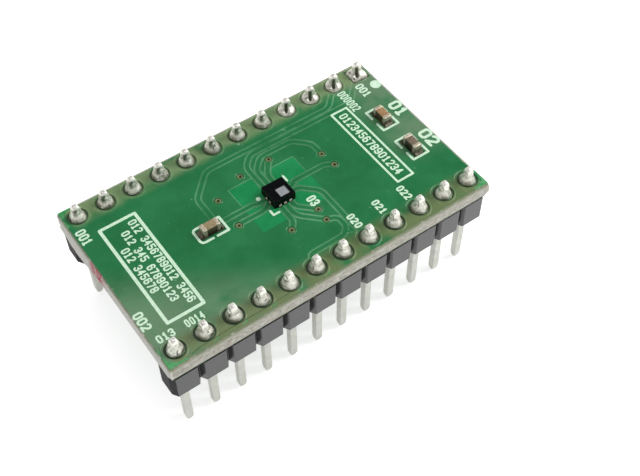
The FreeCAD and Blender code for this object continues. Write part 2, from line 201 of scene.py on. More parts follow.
def fade(tree: Tree, value: Socket, start: float, end: float, most: float = 1.0) -> Socket:
    """Rises smoothly from 0 where value is start to most where it is end."""
    return add_node(
        tree,
        "ShaderNodeMapRange",
        values={"From Min": start, "From Max": end, "To Max": most},
        links={"Value": value},
        interpolation_type="SMOOTHSTEP",
    ).outputs[0]


def fade_mm(tree: Tree, length: Socket, start_mm: float, end_mm: float, most: float = 1.0) -> Socket:
    """Rises like fade along a length, whose socket is in metres and whose ends are in millimetres."""
    return fade(tree, length, start_mm * MM, end_mm * MM, most)


def product(tree: Tree, *factors: Socket) -> Socket:
    """Multiplies several value sockets."""
    result = factors[0]
    for factor in factors[1:]:
        links = {0: result, 1: factor}
        result = add_node(tree, "ShaderNodeMath", links=links, operation="MULTIPLY").outputs[0]
    return result


# Distance behind the board's middle line over which what belongs to the rear half sets in
REAR_HALF_MM = (0.0, 1.0)


@dataclass(frozen=True)
class Lacquer(Finish):
    """Screened green epoxy lacquer: glossy, browned by flux along the pin rows, with a painted sheen at the
    near corner and a paler patch at the far one.
    """

    flux: str = "#6F7B50"
    rear_flux: str = "#8BAA7C"
    # Pale tone of the painted sheen of the lamps at the near corner, and of the paler patch at the far corner
    sheen_and_haze: str = "#87997F"
    dust_tone: str = "#8FB59A"
    row_mm: Point = (6.2, 7.6)
    stain_end_mm: Point = (14.9, 14.3)
    near_corner_way: Spot = (-0.45, -0.75, 0.0)
    near_corner_mm: Point = (4.9, 9.8)
    far_corner_x_mm: Point = (9.8, 13.2)
    far_corner_y_mm: Point = (-4.6, -0.8)
    patch_mm: float = 2.6
    dust_mm: float = 0.5

    def colour(self, tree: Tree, place: Socket, grain: Socket) -> Socket:
        """Adds the flux stain by the rows, a painted sheen of the lamps at the near corner, a paler patch at
        the far corner, and light dust.
        """
        base = super().colour(tree, place, grain)
        axes = add_node(tree, "ShaderNodeSeparateXYZ", links={0: place}).outputs
        away = add_node(tree, "ShaderNodeVectorMath", links={0: place}, operation="ABSOLUTE").outputs[0]
        reach = add_node(tree, "ShaderNodeSeparateXYZ", links={0: away}).outputs
        clouds = {"Scale": scale_for(self.patch_mm), "Detail": 4.0}
        patches = add_node(tree, "ShaderNodeTexNoise", clouds, {"Vector": place}).outputs[0]
        stain = product(
            tree,
            fade_mm(tree, reach[1], *self.row_mm),
            fade_mm(tree, reach[0], *self.stain_end_mm),
            fade(tree, patches, 0.28, 0.55, 0.82),
        )
        across = add_node(
            tree, "ShaderNodeVectorMath", {1: self.near_corner_way}, {0: place}, operation="DOT_PRODUCT"
        ).outputs[1]
        # Painted sheen: a paler patch at the near corner stands for the lamps' gloss on the lacquer
        painted_sheen = product(
            tree, fade_mm(tree, across, *self.near_corner_mm), fade(tree, patches, 0.15, 0.5, 0.52)
        )
        # A paler patch towards the right rear
        behind = product(
            tree,
            fade_mm(tree, axes[0], *self.far_corner_x_mm),
            fade_mm(tree, axes[1], *self.far_corner_y_mm),
            fade(tree, patches, 0.25, 0.6, 0.5),
        )
        specks = {"Scale": scale_for(self.dust_mm), "Detail": 2.0}
        dust = add_node(tree, "ShaderNodeTexNoise", specks, {"Vector": place}).outputs[0]
        sheened = blend(tree, blend(tree, base, self.sheen_and_haze, painted_sheen), self.sheen_and_haze, behind)
        stained = blend(tree, sheened, self.flux, stain)
        rear_stain = product(tree, stain, fade_mm(tree, axes[1], *REAR_HALF_MM, 0.6))
        washed = blend(tree, stained, self.rear_flux, rear_stain)
        return blend(tree, washed, self.dust_tone, fade(tree, dust, 0.72, 0.78, 0.5))


@dataclass(frozen=True)
class BrokenLaminate(Finish):
    """Glass cloth in epoxy, snapped at a score: pale torn fibres in layers, stained green at the top."""

    dark_layer: str = "#A39F8E"
    pale_layer: str = "#F0EEE6"
    torn_left: str = "#F6F4ED"
    stain: str = "#78875F"
    ink: str = "#C4375C"
    layer_mm: float = 1.1
    layer_squeeze: float = 7.0
    cloth_mm: float = 0.18
    cloth_squeeze: float = 3.0
    stain_height_mm: Point = (9.86, 10.36)
    torn_left_mm: Point = (-15.0, -15.14)
    ink_left_mm: Point = (-14.9, -15.15)
    ink_centre_mm: float = 2.2
    ink_reach_mm: Point = (1.7, 0.5)
    smear_mm: float = 0.55

    def colour(self, tree: Tree, place: Socket, grain: Socket) -> Socket:
        """Adds the cloth layers, the lacquer stain under the top edge and the red ink on the left."""
        base = super().colour(tree, place, grain)
        axes = add_node(tree, "ShaderNodeSeparateXYZ", links={0: place}).outputs
        flat = self.squeezed(tree, place, self.layer_squeeze)
        cloth = {"Scale": scale_for(self.layer_mm), "Detail": 6.0}
        layers = add_node(tree, "ShaderNodeTexNoise", cloth, {"Vector": flat}).outputs[0]
        layered = blend(tree, base, self.dark_layer, fade(tree, layers, 0.5, 0.72, 0.75))
        bright = blend(tree, layered, self.pale_layer, fade(tree, layers, 0.45, 0.25, 0.8))
        green = product(
            tree, fade_mm(tree, axes[2], *self.stain_height_mm), fade(tree, grain, 0.25, 0.5)
        )
        torn = blend(tree, bright, self.torn_left, fade_mm(tree, axes[0], *self.torn_left_mm, 0.75))
        stained = blend(tree, torn, self.stain, green)
        wipes = {"Scale": scale_for(self.smear_mm), "Detail": 5.0}
        smear = add_node(tree, "ShaderNodeTexNoise", wipes, {"Vector": place}).outputs[0]
        centre = {1: self.ink_centre_mm * MM}
        along = add_node(tree, "ShaderNodeMath", centre, {0: axes[1]}, operation="SUBTRACT").outputs[0]
        near = add_node(tree, "ShaderNodeMath", links={0: along}, operation="ABSOLUTE").outputs[0]
        inked = product(
            tree,
            fade_mm(tree, near, *self.ink_reach_mm),
            fade_mm(tree, axes[0], *self.ink_left_mm),
            fade(tree, smear, 0.3, 0.62, 0.9),
        )
        return blend(tree, stained, self.ink, inked)

    def relief(self, tree: Tree, place: Socket) -> Socket:
        """Gives short fibres that lie in the layers."""
        flat = self.squeezed(tree, place, self.cloth_squeeze)
        fibres = {"Scale": scale_for(self.cloth_mm), "Detail": 6.0, "Roughness": 0.7}
        return add_node(tree, "ShaderNodeTexNoise", fibres, {"Vector": flat}).outputs[0]

    def squeezed(self, tree: Tree, place: Socket, times: float) -> Socket:
        """Flattens a pattern so that it lies in the plane of the cloth."""
        return add_node(
            tree, "ShaderNodeMapping", values={"Scale": (1.0, 1.0, times)}, links={"Vector": place}
        ).outputs[0]


@dataclass(frozen=True)
class Cleft:
    """Where dark reflection on the solder and shade on the pin are painted: the cleft of the four low joints,
    and a short weak streak on the rest of the rear row.
    """

    way: Point = (-0.58, -0.8146)
    inner_mm: Point = (0.0, 0.12)
    outer_mm: Point = (0.68, 0.5)
    streak_mm: Point = (0.56, 0.42)
    streak_share: float = 0.85
    half_width_mm: Point = (0.23, 0.08)
    low_joints_mm: Point = (5.0, 5.1)

    def mask(self, tree: Tree, place: Socket) -> Socket:
        """Marks the clefts and streaks.

        Args:
            tree: The material's tree.
            place: Object coordinates.

        Returns:
            A value socket: 1 in a cleft, less in a streak, 0 elsewhere.
        """
        axes = add_node(tree, "ShaderNodeSeparateXYZ", links={0: place}).outputs
        aside = add_node(
            tree, "ShaderNodeMath", {1: PITCH * MM, 2: 0.0}, {0: axes[0]}, operation="WRAP"
        ).outputs[0]
        local = add_node(tree, "ShaderNodeCombineXYZ", links={"X": aside, "Y": axes[1]}).outputs[0]
        pin = (PITCH / 2 * MM, ROW_Y * MM, 0.0)
        centred = add_node(
            tree, "ShaderNodeVectorMath", {1: pin}, {0: local}, operation="SUBTRACT"
        ).outputs[0]
        along, across = (
            add_node(
                tree, "ShaderNodeVectorMath", {1: (*way, 0.0)}, {0: centred}, operation="DOT_PRODUCT"
            ).outputs[1]
            for way in (self.way, (-self.way[1], self.way[0]))
        )
        spread = add_node(tree, "ShaderNodeMath", links={0: across}, operation="ABSOLUTE").outputs[0]
        deep = product(
            tree, fade_mm(tree, along, *self.outer_mm), fade_mm(tree, axes[0], *self.low_joints_mm)
        )
        weak = fade_mm(tree, along, *self.streak_mm, self.streak_share)
        reach = add_node(tree, "ShaderNodeMath", links={0: deep, 1: weak}, operation="MAXIMUM").outputs[0]
        return product(
            tree,
            fade_mm(tree, spread, *self.half_width_mm),
            fade_mm(tree, along, *self.inner_mm),
            reach,
            fade_mm(tree, axes[1], *REAR_HALF_MM),
        )


CLEFT = Cleft()


@dataclass(frozen=True)
class FluxedSolder(Finish):
    """Hand-made solder joint: bright frozen metal, browner and duller where flux pooled at its foot."""

    flux: str = "#6E6A55"
    # Dark green of the painted shade and reflection at the joint's foot
    rim_shade: str = "#33492C"
    pit: str = "#33302A"
    # Colour of the painted dark reflection in the clefts and streaks
    cleft_reflection: str = "#575C43"
    rim_mm: float = 10.43
    foot_mm: float = 10.5
    clean_mm: float = 10.95
    low_joints_mm: Point = (4.0, 5.0)
    flux_share: float = 0.95
    low_joint_share: float = 0.4
    pool_mm: float = 0.7
    pit_mm: float = 0.33

    def colour(self, tree: Tree, place: Socket, grain: Socket) -> Socket:
        """Adds patches of flux at the foot, a few dark pits, painted dark reflections in the clefts and
        streaks, and a dark green ring of painted shade and reflection round the land's rim.
        """
        base = super().colour(tree, place, grain)
        axes = add_node(tree, "ShaderNodeSeparateXYZ", links={0: place}).outputs
        spread = {"Scale": scale_for(self.pool_mm), "Detail": 3.0}
        pools = add_node(tree, "ShaderNodeTexNoise", spread, {"Vector": place}).outputs[0]
        low_joint = product(
            tree, fade_mm(tree, axes[1], *REAR_HALF_MM), fade_mm(tree, axes[0], *self.low_joints_mm)
        )
        shares = {"To Min": self.flux_share, "To Max": self.low_joint_share}
        share = add_node(tree, "ShaderNodeMapRange", shares, {"Value": low_joint}).outputs[0]
        foot = product(
            tree,
            fade_mm(tree, axes[2], self.clean_mm, self.foot_mm),
            fade(tree, pools, 0.38, 0.58, 0.9),
            share,
        )
        pores = {"Scale": scale_for(self.pit_mm), "Detail": 2.0}
        pits = add_node(tree, "ShaderNodeTexNoise", pores, {"Vector": place}).outputs[0]
        fluxed = blend(tree, base, self.flux, foot)
        pitted = blend(tree, fluxed, self.pit, fade(tree, pits, 0.62, 0.7, 0.85))
        # Painted reflection: the clefts and streaks stand for the dark that the concave solder reflects
        painted_reflections = product(tree, CLEFT.mask(tree, place), fade(tree, pools, 0.0, 0.3, 0.85))
        reflected = blend(tree, pitted, self.cleft_reflection, painted_reflections)
        # Painted shade: a dark green ring at the foot stands for the shaded fillet reflecting the board
        low = product(tree, fade_mm(tree, axes[2], self.foot_mm, self.rim_mm), share)
        return blend(tree, reflected, self.rim_shade, low)


@dataclass(frozen=True)
class SolderedPin(Finish):
    """Tinned wire whose end above the board is coated with bright solder."""

    coat: str = "#F7F5EC"
    # Colour of the painted shade on the pin by the clefts and streaks
    pin_shade: str = "#434836"
    board_mm: float = 10.4
    rise_mm: float = 0.5
    pin_shade_top_mm: float = 11.7
    pin_shade_edge_mm: float = 0.15

    def colour(self, tree: Tree, place: Socket, grain: Socket) -> Socket:
        """Adds the coat above the board, and painted shade where a cleft or streak meets the pin."""
        base = super().colour(tree, place, grain)
        height = add_node(tree, "ShaderNodeSeparateXYZ", links={0: place}).outputs[2]
        above = fade_mm(tree, height, self.board_mm, self.board_mm + self.rise_mm, 0.9)
        coated = blend(tree, base, self.coat, above)
        # Painted shade: the pin darkens where a cleft or streak meets it
        shaded_pin = product(
            tree,
            CLEFT.mask(tree, place),
            fade_mm(tree, height, self.pin_shade_top_mm, self.pin_shade_top_mm - self.pin_shade_edge_mm, 0.95),
            fade_mm(tree, height, self.board_mm - self.rise_mm, self.board_mm),
        )
        return blend(tree, coated, self.pin_shade, shaded_pin)


@dataclass(frozen=True)
class CoveredLaminate(Finish):
    """The laminate's upper face: dark with painted shade in the lacquer's openings, bare and pale at the
    border.
    """

    border: str = "#A3A698"
    behind: str = "#4E6B3F"
    border_mm: Point = (14.94, 8.64)
    border_edge_mm: float = 0.03

    def colour(self, tree: Tree, place: Socket, grain: Socket) -> Socket:
        """Adds a greener tone on the rear half, and the pale border that the lacquer leaves bare."""
        base = super().colour(tree, place, grain)
        depth = add_node(tree, "ShaderNodeSeparateXYZ", links={0: place}).outputs[1]
        result = blend(tree, base, self.behind, fade_mm(tree, depth, *REAR_HALF_MM, 0.75))
        away = add_node(tree, "ShaderNodeVectorMath", links={0: place}, operation="ABSOLUTE").outputs[0]
        axes = add_node(tree, "ShaderNodeSeparateXYZ", links={0: away}).outputs
        for axis, start in zip(axes, self.border_mm):
            outside = fade_mm(tree, axis, start, start + self.border_edge_mm)
            result = blend(tree, result, self.border, outside)
        return result


@dataclass(frozen=True)
class ShadedChip(Finish):
    """Side walls of a soldered chip part: lighter on top, darker below the upper edge with painted shade,
    which on the end caps also stands for burnt flux.
    """

    # Colour of the painted shade on the walls
    flux: str = "#19170C"
    # Heights between which the painted shade sets in, from none to most
    clean_mm: float = 11.19
    shade_mm: float = 11.08
    most: float = 0.88

    def colour(self, tree: Tree, place: Socket, grain: Socket) -> Socket:
        """Adds the painted shade on the walls."""
        base = super().colour(tree, place, grain)
        height = add_node(tree, "ShaderNodeSeparateXYZ", links={0: place}).outputs[2]
        # Painted shade: the walls darken below the upper edge
        painted_shade = fade_mm(tree, height, self.clean_mm, self.shade_mm, self.most)
        return blend(tree, base, self.flux, painted_shade)


# Glass cloth in epoxy, broken at the score: torn and chalky, so it looks dull and fibrous
LAMINATE_EDGE = BrokenLaminate("fr4_broken_edge", "#BFBCAD", "#E2E0D6", 0.4, 0.7, 0.9, relief_mm=0.02)
# The same laminate's upper face, seen in the lacquer's openings and as a thin line at its border; its dark
# tones are painted shade for the openings
LAMINATE_CORE = CoveredLaminate("fr4_face_shaded_in_openings", "#1C3322", "#2B4028", 0.3, 0.35, 0.55)
# Epoxy lacquer over solid copper: a deep green with a wet gloss
LACQUER_COPPER = Lacquer("green_lacquer_on_copper", "#1A6B3D", "#237A47", 3.2, 0.2, 0.3, relief_mm=0.0015)
# The same lacquer over bare laminate: the pale core lights it to a brighter green
LACQUER_BARE = Lacquer("green_lacquer_on_laminate", "#0E7F45", "#148C4F", 1.6, 0.2, 0.3, relief_mm=0.0015)
# The same lacquer in the narrow gaps beside a track: thin on the slopes, so it looks paler
LACQUER_GAP = Lacquer("green_lacquer_in_gaps", "#1F713F", "#5A9B6C", 3.2, 0.25, 0.35, relief_mm=0.0015)
# The same lacquer in the narrow gap round a land, under more flux: hardly paler than the rest
LACQUER_RING = Lacquer("green_lacquer_round_lands", "#22713F", "#3D8552", 1.3, 0.25, 0.35, relief_mm=0.0015)
# The same lacquer where it sinks along the end of the copper: a dark line of painted shade in the groove
LACQUER_SUNK = Finish("green_lacquer_shaded_in_groove", "#34502D", "#58693F", 0.6, 0.3, 0.45, relief_mm=0.0015)
# The same lacquer on nicks at the front edge, which the flux did not reach: clean and bright
LACQUER_NICK = Finish("green_lacquer_on_nicks", "#338A50", "#5CAA6C", 0.5, 0.25, 0.4, relief_mm=0.0015)
# Screen-printed epoxy ink: flat, near white with the green showing through where it is thin
PRINT_INK = Finish("white_legend_ink", "#BDE3C4", "#DAF2DA", 0.22, 0.5, 0.65, relief_size_mm=0.06)
# Tin-lead or tin-silver solder, frozen in air: bright with soft grey clouds, satin rather than mirror-like
SOLDER = FluxedSolder("frozen_solder", "#CBC9BC", "#FBFAF0", 0.3, 0.3, 0.5, metallic=0.62, relief_mm=0.014)
# The same solder at the chip parts, dark brown: a skin of flux, and painted shade beside the chip bodies
FLUX_SOLDER = Finish("solder_with_flux_and_painted_shade", "#3B342A", "#8A8272", 0.35, 0.25, 0.45, metallic=0.7)
# Bright-tinned brass or bronze wire: pale and satin with fine drawing marks
PIN_TIN = SolderedPin("tinned_pin", "#B9BAB1", "#CFD0C8", 0.7, 0.36, 0.52, metallic=0.8)
# Glass-filled polyester, injection moulded: black, with a satin face that takes the light of the bench
STRIP_PLASTIC = Finish(
    "moulded_strip_polyester", "#0A0B0C", "#121314", 0.4, 0.2, 0.28, ior=1.68, relief_size_mm=0.08
)
# The same plastic at a strip's ends, where it was snapped off a longer one: rough, without gloss
STRIP_BREAK = Finish(
    "snapped_strip_end", "#0C0D0E", "#161718", 0.3, 0.6, 0.8, ior=1.4, relief_mm=0.02, relief_size_mm=0.15
)
# Tented via: copper under a thin brown-green coat
VIA_COPPER = Finish("lacquered_via_copper", "#55683C", "#7C8359", 0.25, 0.3, 0.5)
# Hot-air tinned pad, browned by flux and darkened with painted shade beside the chip bodies
PAD_TIN = Finish("tinned_pad", "#4A4334", "#8F887A", 0.3, 0.3, 0.5, metallic=0.7)
# Black moulding compound: carbon-black epoxy with fine silica, matt
MOULD_COMPOUND = Finish(
    "black_mould_compound", "#010304", "#05080A", 0.15, 0.3, 0.4, ior=1.22, relief_size_mm=0.04
)
# Polished silicon behind a clear gel: flat mid grey
SILICON = Finish("sensing_silicon", "#8C8F92", "#9DA0A3", 0.3, 0.3, 0.45, relief_mm=0.001)
# Barium titanate ceramic: fired and satin, from orange tan to grey brown with the batch
CERAMIC_ORANGE, CERAMIC_GREY, CERAMIC_TAN = (
    ShadedChip(f"fired_ceramic_{tint}", low, high, 0.25, 0.35, 0.5, relief_size_mm=0.05)
    for tint, low, high in (
        ("orange", "#8F6C48", "#AE8A62"),
        ("grey", "#665849", "#837361"),
        ("tan", "#80704F", "#A39170"),
    )
)
# Fired silver end cap with plated tin: creamy and soft
END_CAP = ShadedChip(
    "tinned_end_cap",
    "#B4A98F",
    "#E9E0CC",
    0.2,
    0.35,
    0.55,
    metallic=0.6,
    relief_mm=0.01,
    most=0.35,
    # Painted shade on the caps' walls, with some burnt flux
    flux="#3A382A",
)
# Contacts of the chip: plated tin with no flux left on it
CONTACT_TIN = Finish("tinned_contact", "#D6D2C4", "#FAF8F0", 0.2, 0.35, 0.55, metallic=0.4, relief_mm=0.01)


def linked(name: str, data: bpy.types.ID) -> bpy.types.Object:
    """Makes an object of a mesh, lamp or camera and links it to the scene."""
    made = bpy.data.objects.new(name, data)
    bpy.context.scene.collection.objects.link(made)
    return made


def settled(carrier: bpy.types.Object, helper: bpy.types.Object) -> Mesh:
    """Gives the carrier's mesh as its modifier leaves it, and removes the carrier and its helper."""
    depsgraph = bpy.context.evaluated_depsgraph_get()
    mesh = bpy.data.meshes.new_from_object(carrier.evaluated_get(depsgraph), depsgraph=depsgraph)
    carrier.modifiers.clear()
    for made in (carrier, helper):
        bpy.data.objects.remove(made)
    return mesh


@dataclass
class Piece:
    """What one finished mesh is: its name, finishes, record slot and the CAD nodes it stands for."""

    name: str
    finishes: Sequence[Finish]
    slot: str
    nodes: Sequence[str] = ()

    def place(self, mesh: Mesh) -> None:
        """Links a mesh, in metres and already where it belongs, as a piece that rides the board."""
        mesh.name = self.name
        choice = [0] * len(mesh.polygons)
        mesh.polygons.foreach_get("material_index", choice)
        mesh.materials.clear()
        for finish in self.finishes:
            mesh.materials.append(finish.material())
        mesh.polygons.foreach_set("material_index", choice)
        made = linked(self.name, mesh)
        if self.nodes:
            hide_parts(*self.nodes)
        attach(made, BODY)
        LOG.info("%s: %d faces", self.name, len(mesh.polygons))


# Edges of turned metal flatter than this are shaded smooth
ROUND_DEG = 50.0
# The same for torn laminate
TORN_DEG = 40.0


def mesh_from(
    vertices: Sequence[Sequence[float]], faces: Sequence[Sequence[int]], smooth_deg: float = 0.0
) -> Mesh:
    """Builds a mesh from millimetre points.

    Args:
        vertices: Points in millimetres.
        faces: Corner indices, counter-clockwise from outside.
        smooth_deg: Edges flatter than this are shaded smooth; 0 keeps flat faces.

    Returns:
        The mesh in metres.
    """
    mesh = bpy.data.meshes.new("draft")
    mesh.from_pydata([[c * MM for c in v] for v in vertices], [], faces)
    mesh.update()
    if smooth_deg:
        mesh.polygons.foreach_set("use_smooth", [True] * len(mesh.polygons))
        mesh.set_sharp_from_angle(angle=math.radians(smooth_deg))
    return mesh


def lofted(rings: Sequence[Sequence[Sequence[float]]], smooth_deg: float, tube: bool = False) -> Mesh:
    """Skins closed rings of equally many points.

    Args:
        rings: The rings in order, from the bottom up.
        smooth_deg: Edges flatter than this are shaded smooth.
        tube: Whether the last ring joins the first one round a bore. Otherwise both ends are closed.

    Returns:
        The skinned mesh.
    """
    count = len(rings[0])
    vertices = [point for ring in rings for point in ring]
    ends = [list(range(count))[::-1], [len(vertices) - count + i for i in range(count)]]
    faces = [] if tube else ends
    for level in range(len(rings) if tube else len(rings) - 1):
        low, high = level * count, (level + 1) % len(rings) * count
        for i in range(count):
            j = (i + 1) % count
            faces.append([low + i, low + j, high + j, high + i])
    return mesh_from(vertices, faces, smooth_deg)


def joined(meshes: Sequence[Mesh]) -> Mesh:
    """Puts several meshes into one."""
    build = bmesh.new()
    for mesh in meshes:
        build.from_mesh(mesh)
    result = bpy.data.meshes.new("draft")
    build.to_mesh(result)
    build.free()
    return result


def circle(x: float, y: float, radius: float, sides: int = 32) -> Ring:
    """Gives a round ring of points."""
    return [
        (x + radius * math.cos(2 * math.pi * i / sides), y + radius * math.sin(2 * math.pi * i / sides))
        for i in range(sides)
    ]


def rectangle(x_low: float, y_low: float, x_high: float, y_high: float) -> Ring:
    """Gives a rectangle between two corners."""
    return [(x_low, y_low), (x_high, y_low), (x_high, y_high), (x_low, y_high)]


def squircle(x: float, y: float, half: float, radius: float, steps: int = 5) -> Ring:
    """Gives a square of half side half with rounded corners."""
    ring = []
    for turn, (sx, sy) in enumerate(((1, 1), (-1, 1), (-1, -1), (1, -1))):
        for step in range(steps):
            angle = math.pi / 2 * (turn + step / (steps - 1))
            corner_x, corner_y = x + sx * (half - radius), y + sy * (half - radius)
            ring.append((corner_x + radius * math.cos(angle), corner_y + radius * math.sin(angle)))
    return ring


def rounded_path(points: Sequence[Point], radius: float, steps: int = 5) -> Ring:
    """Turns each corner of a bent line to a short curve."""
    result = [points[0]]
    for before, corner, after in zip(points, points[1:], points[2:]):
        here = Vector(corner)
        back, ahead = Vector(before) - here, Vector(after) - here
        reach = min(radius, back.length / 2, ahead.length / 2)
        start, end = here + back.normalized() * reach, here + ahead.normalized() * reach
        for step in range(steps + 1):
            t = step / steps
            curve = start * (1 - t) ** 2 + here * 2 * t * (1 - t) + end * t**2
            result.append((curve.x, curve.y))
    return result + [points[-1]]


def offset_line(points: Sequence[Point], distance: float) -> Ring:
    """Moves a line sideways, to its left for a positive distance, with mitred corners."""
    result = []
    for index, point in enumerate(points):
        before = points[max(index - 1, 0)]
        after = points[min(index + 1, len(points) - 1)]
        into = (Vector(point) - Vector(before)).normalized() if index else None
        out = (Vector(after) - Vector(point)).normalized() if index < len(points) - 1 else into
        into = into or out
        normal = Vector((-(into + out).y, (into + out).x)).normalized()
        lean = max(0.4, normal.dot(Vector((-out.y, out.x))))
        moved = Vector(point) + normal * distance / lean
        result.append((moved.x, moved.y))
    return result


def ribbon(points: Sequence[Point], width: float) -> Ring:
    """Gives the outline of a line of even width."""
    return offset_line(points, width / 2) + offset_line(points, -width / 2)[::-1]


def stroke(points: Sequence[Point], width: float, sides: int = 10) -> list[Ring]:
    """Gives overlapping rings that together draw a round-ended line."""
    rings = []
    for (x0, y0), (x1, y1) in zip(points, points[1:]):
        angle = math.atan2(y1 - y0, x1 - x0)
        ring = []
        for x, y, start in ((x1, y1, angle - math.pi / 2), (x0, y0, angle + math.pi / 2)):
            for step in range(sides // 2 + 1):
                turn = start + math.pi * step / (sides // 2)
                ring.append((x + width / 2 * math.cos(turn), y + width / 2 * math.sin(turn)))
        rings.append(ring)
    return rings


class Layer(IntEnum):
    """What lies at a point of a flat pattern; the lowest number that covers a point wins."""

    OPENING = 0
    SUNK = 1
    COPPER = 2
    GAP = 3
    RING = 4
    NICK = 5
    BARE = 6
    POUR = 7


@dataclass
class FlatPattern:
    """Outlines on a plane, cut against each other by one constrained triangulation."""

    z_low: float
    z_high: float
    z_groove: float
    rings: list[tuple[Ring, Layer]] = field(default_factory=list)
    creases: list[tuple[Ring, bool]] = field(default_factory=list)

    def add(self, ring: Ring, layer: Layer) -> None:
        """Adds one outline, turned counter-clockwise."""
        area = sum(a[0] * b[1] - b[0] * a[1] for a, b in zip(ring, ring[1:] + ring[:1]))
        self.rings.append((ring if area > 0 else ring[::-1], layer))

    def crease(self, line: Ring, closed: bool = False) -> None:
        """Adds a line along which a gap has its lowest points."""
        self.creases.append((line, closed))

    def mesh(self, finish_of: dict[Layer, int]) -> Mesh:
        """Builds the film.

        Args:
            finish_of: The finish index of each layer that is kept; a point of another layer stays open.

        Returns:
            A closed film with its grooves.
        """
        points, edges, faces, ranks = [], [], [], []
        for ring, layer in self.rings:
            faces.append([len(points) + i for i in range(len(ring))])
            ranks.append(layer)
            points += [Vector(p) for p in ring]
        for line, closed in self.creases:
            first = len(points)
            edges += [(first + i, first + i + 1) for i in range(len(line) - 1)]
            if closed:
                edges.append((first + len(line) - 1, first))
            points += [Vector(p) for p in line]
        flat, _, triangles, _, _, owners = delaunay_2d_cdt(points, edges, faces, 1, 1e-5)
        kept = []
        high = set()
        for triangle, owner in zip(triangles, owners):
            layer = min((ranks[i] for i in owner), default=Layer.OPENING)
            if layer not in finish_of:
                continue
            kept.append((list(triangle), finish_of[layer]))
            if layer in (Layer.COPPER, Layer.POUR):
                high.update(triangle)
        return self._solid(flat, kept, high)

    def _solid(
        self, flat: Sequence[Vector], kept: Sequence[tuple[list[int], int]], high: set[int]
    ) -> Mesh:
        """Raises the kept triangles to their heights and closes the film underneath and at its edges."""
        used = sorted({i for triangle, _ in kept for i in triangle})
        index = {old: new for new, old in enumerate(used)}
        count = len(used)
        top = [(flat[i].x, flat[i].y, self.z_high if i in high else self.z_groove) for i in used]
        base = [(flat[i].x, flat[i].y, self.z_low) for i in used]
        faces, finishes, border = [], [], {}
        for triangle, finish in kept:
            corners = [index[i] for i in triangle]
            faces += [corners, [c + count for c in reversed(corners)]]
            finishes += [finish, finish]
            for a, b in zip(corners, corners[1:] + corners[:1]):
                if (b, a) in border:
                    del border[(b, a)]
                else:
                    border[(a, b)] = finish
        for (a, b), finish in border.items():
            faces.append([b, a, a + count, b + count])
            finishes.append(finish)
        mesh = mesh_from(top + base, faces)
        mesh.polygons.foreach_set("material_index", finishes)
        return mesh


@dataclass(frozen=True)
class Stack:
    """Heights of the layers and half sizes of the lacquer in millimetres, read from the frame."""

    laminate_bottom: float
    laminate_top: float
    mask_top: float
    strip_bottom: float
    strip_top: float
    pin_top: float
    half_length: float
    half_width: float

    @classmethod
    def read(cls) -> "Stack":
        """Reads the CAD nodes."""
        laminate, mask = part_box("circuit_board"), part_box("solder_mask_top")
        strip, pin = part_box("header_insulator_front"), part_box("header_pin_01")
        heights = (laminate[0].z, laminate[1].z, mask[1].z, strip[0].z, strip[1].z, pin[1].z)
        return cls(*(length / MM for length in (*heights, mask[1].x, mask[1].y)))


STACK = Stack.read()
PITCH = 2.54
WAYS = 12
ROW_Y = 7.62
FIRST_X = PITCH * (WAYS - 1) / 2
REAR_ROW = [(FIRST_X - PITCH * way, ROW_Y) for way in range(WAYS)]
FRONT_ROW = [(-FIRST_X + PITCH * way, -ROW_Y) for way in range(WAYS)]
VIAS = [
    (1.9, 3.78),
    (-1.07, 3.57),
    (-3.94, 2.43),
    (-3.94, -0.69),
    (-0.78, -3.51),
    (2.1, -4.25),
    (2.17, -3.01),
    (5.88, 1.7),
    (6.06, 0.12),
]


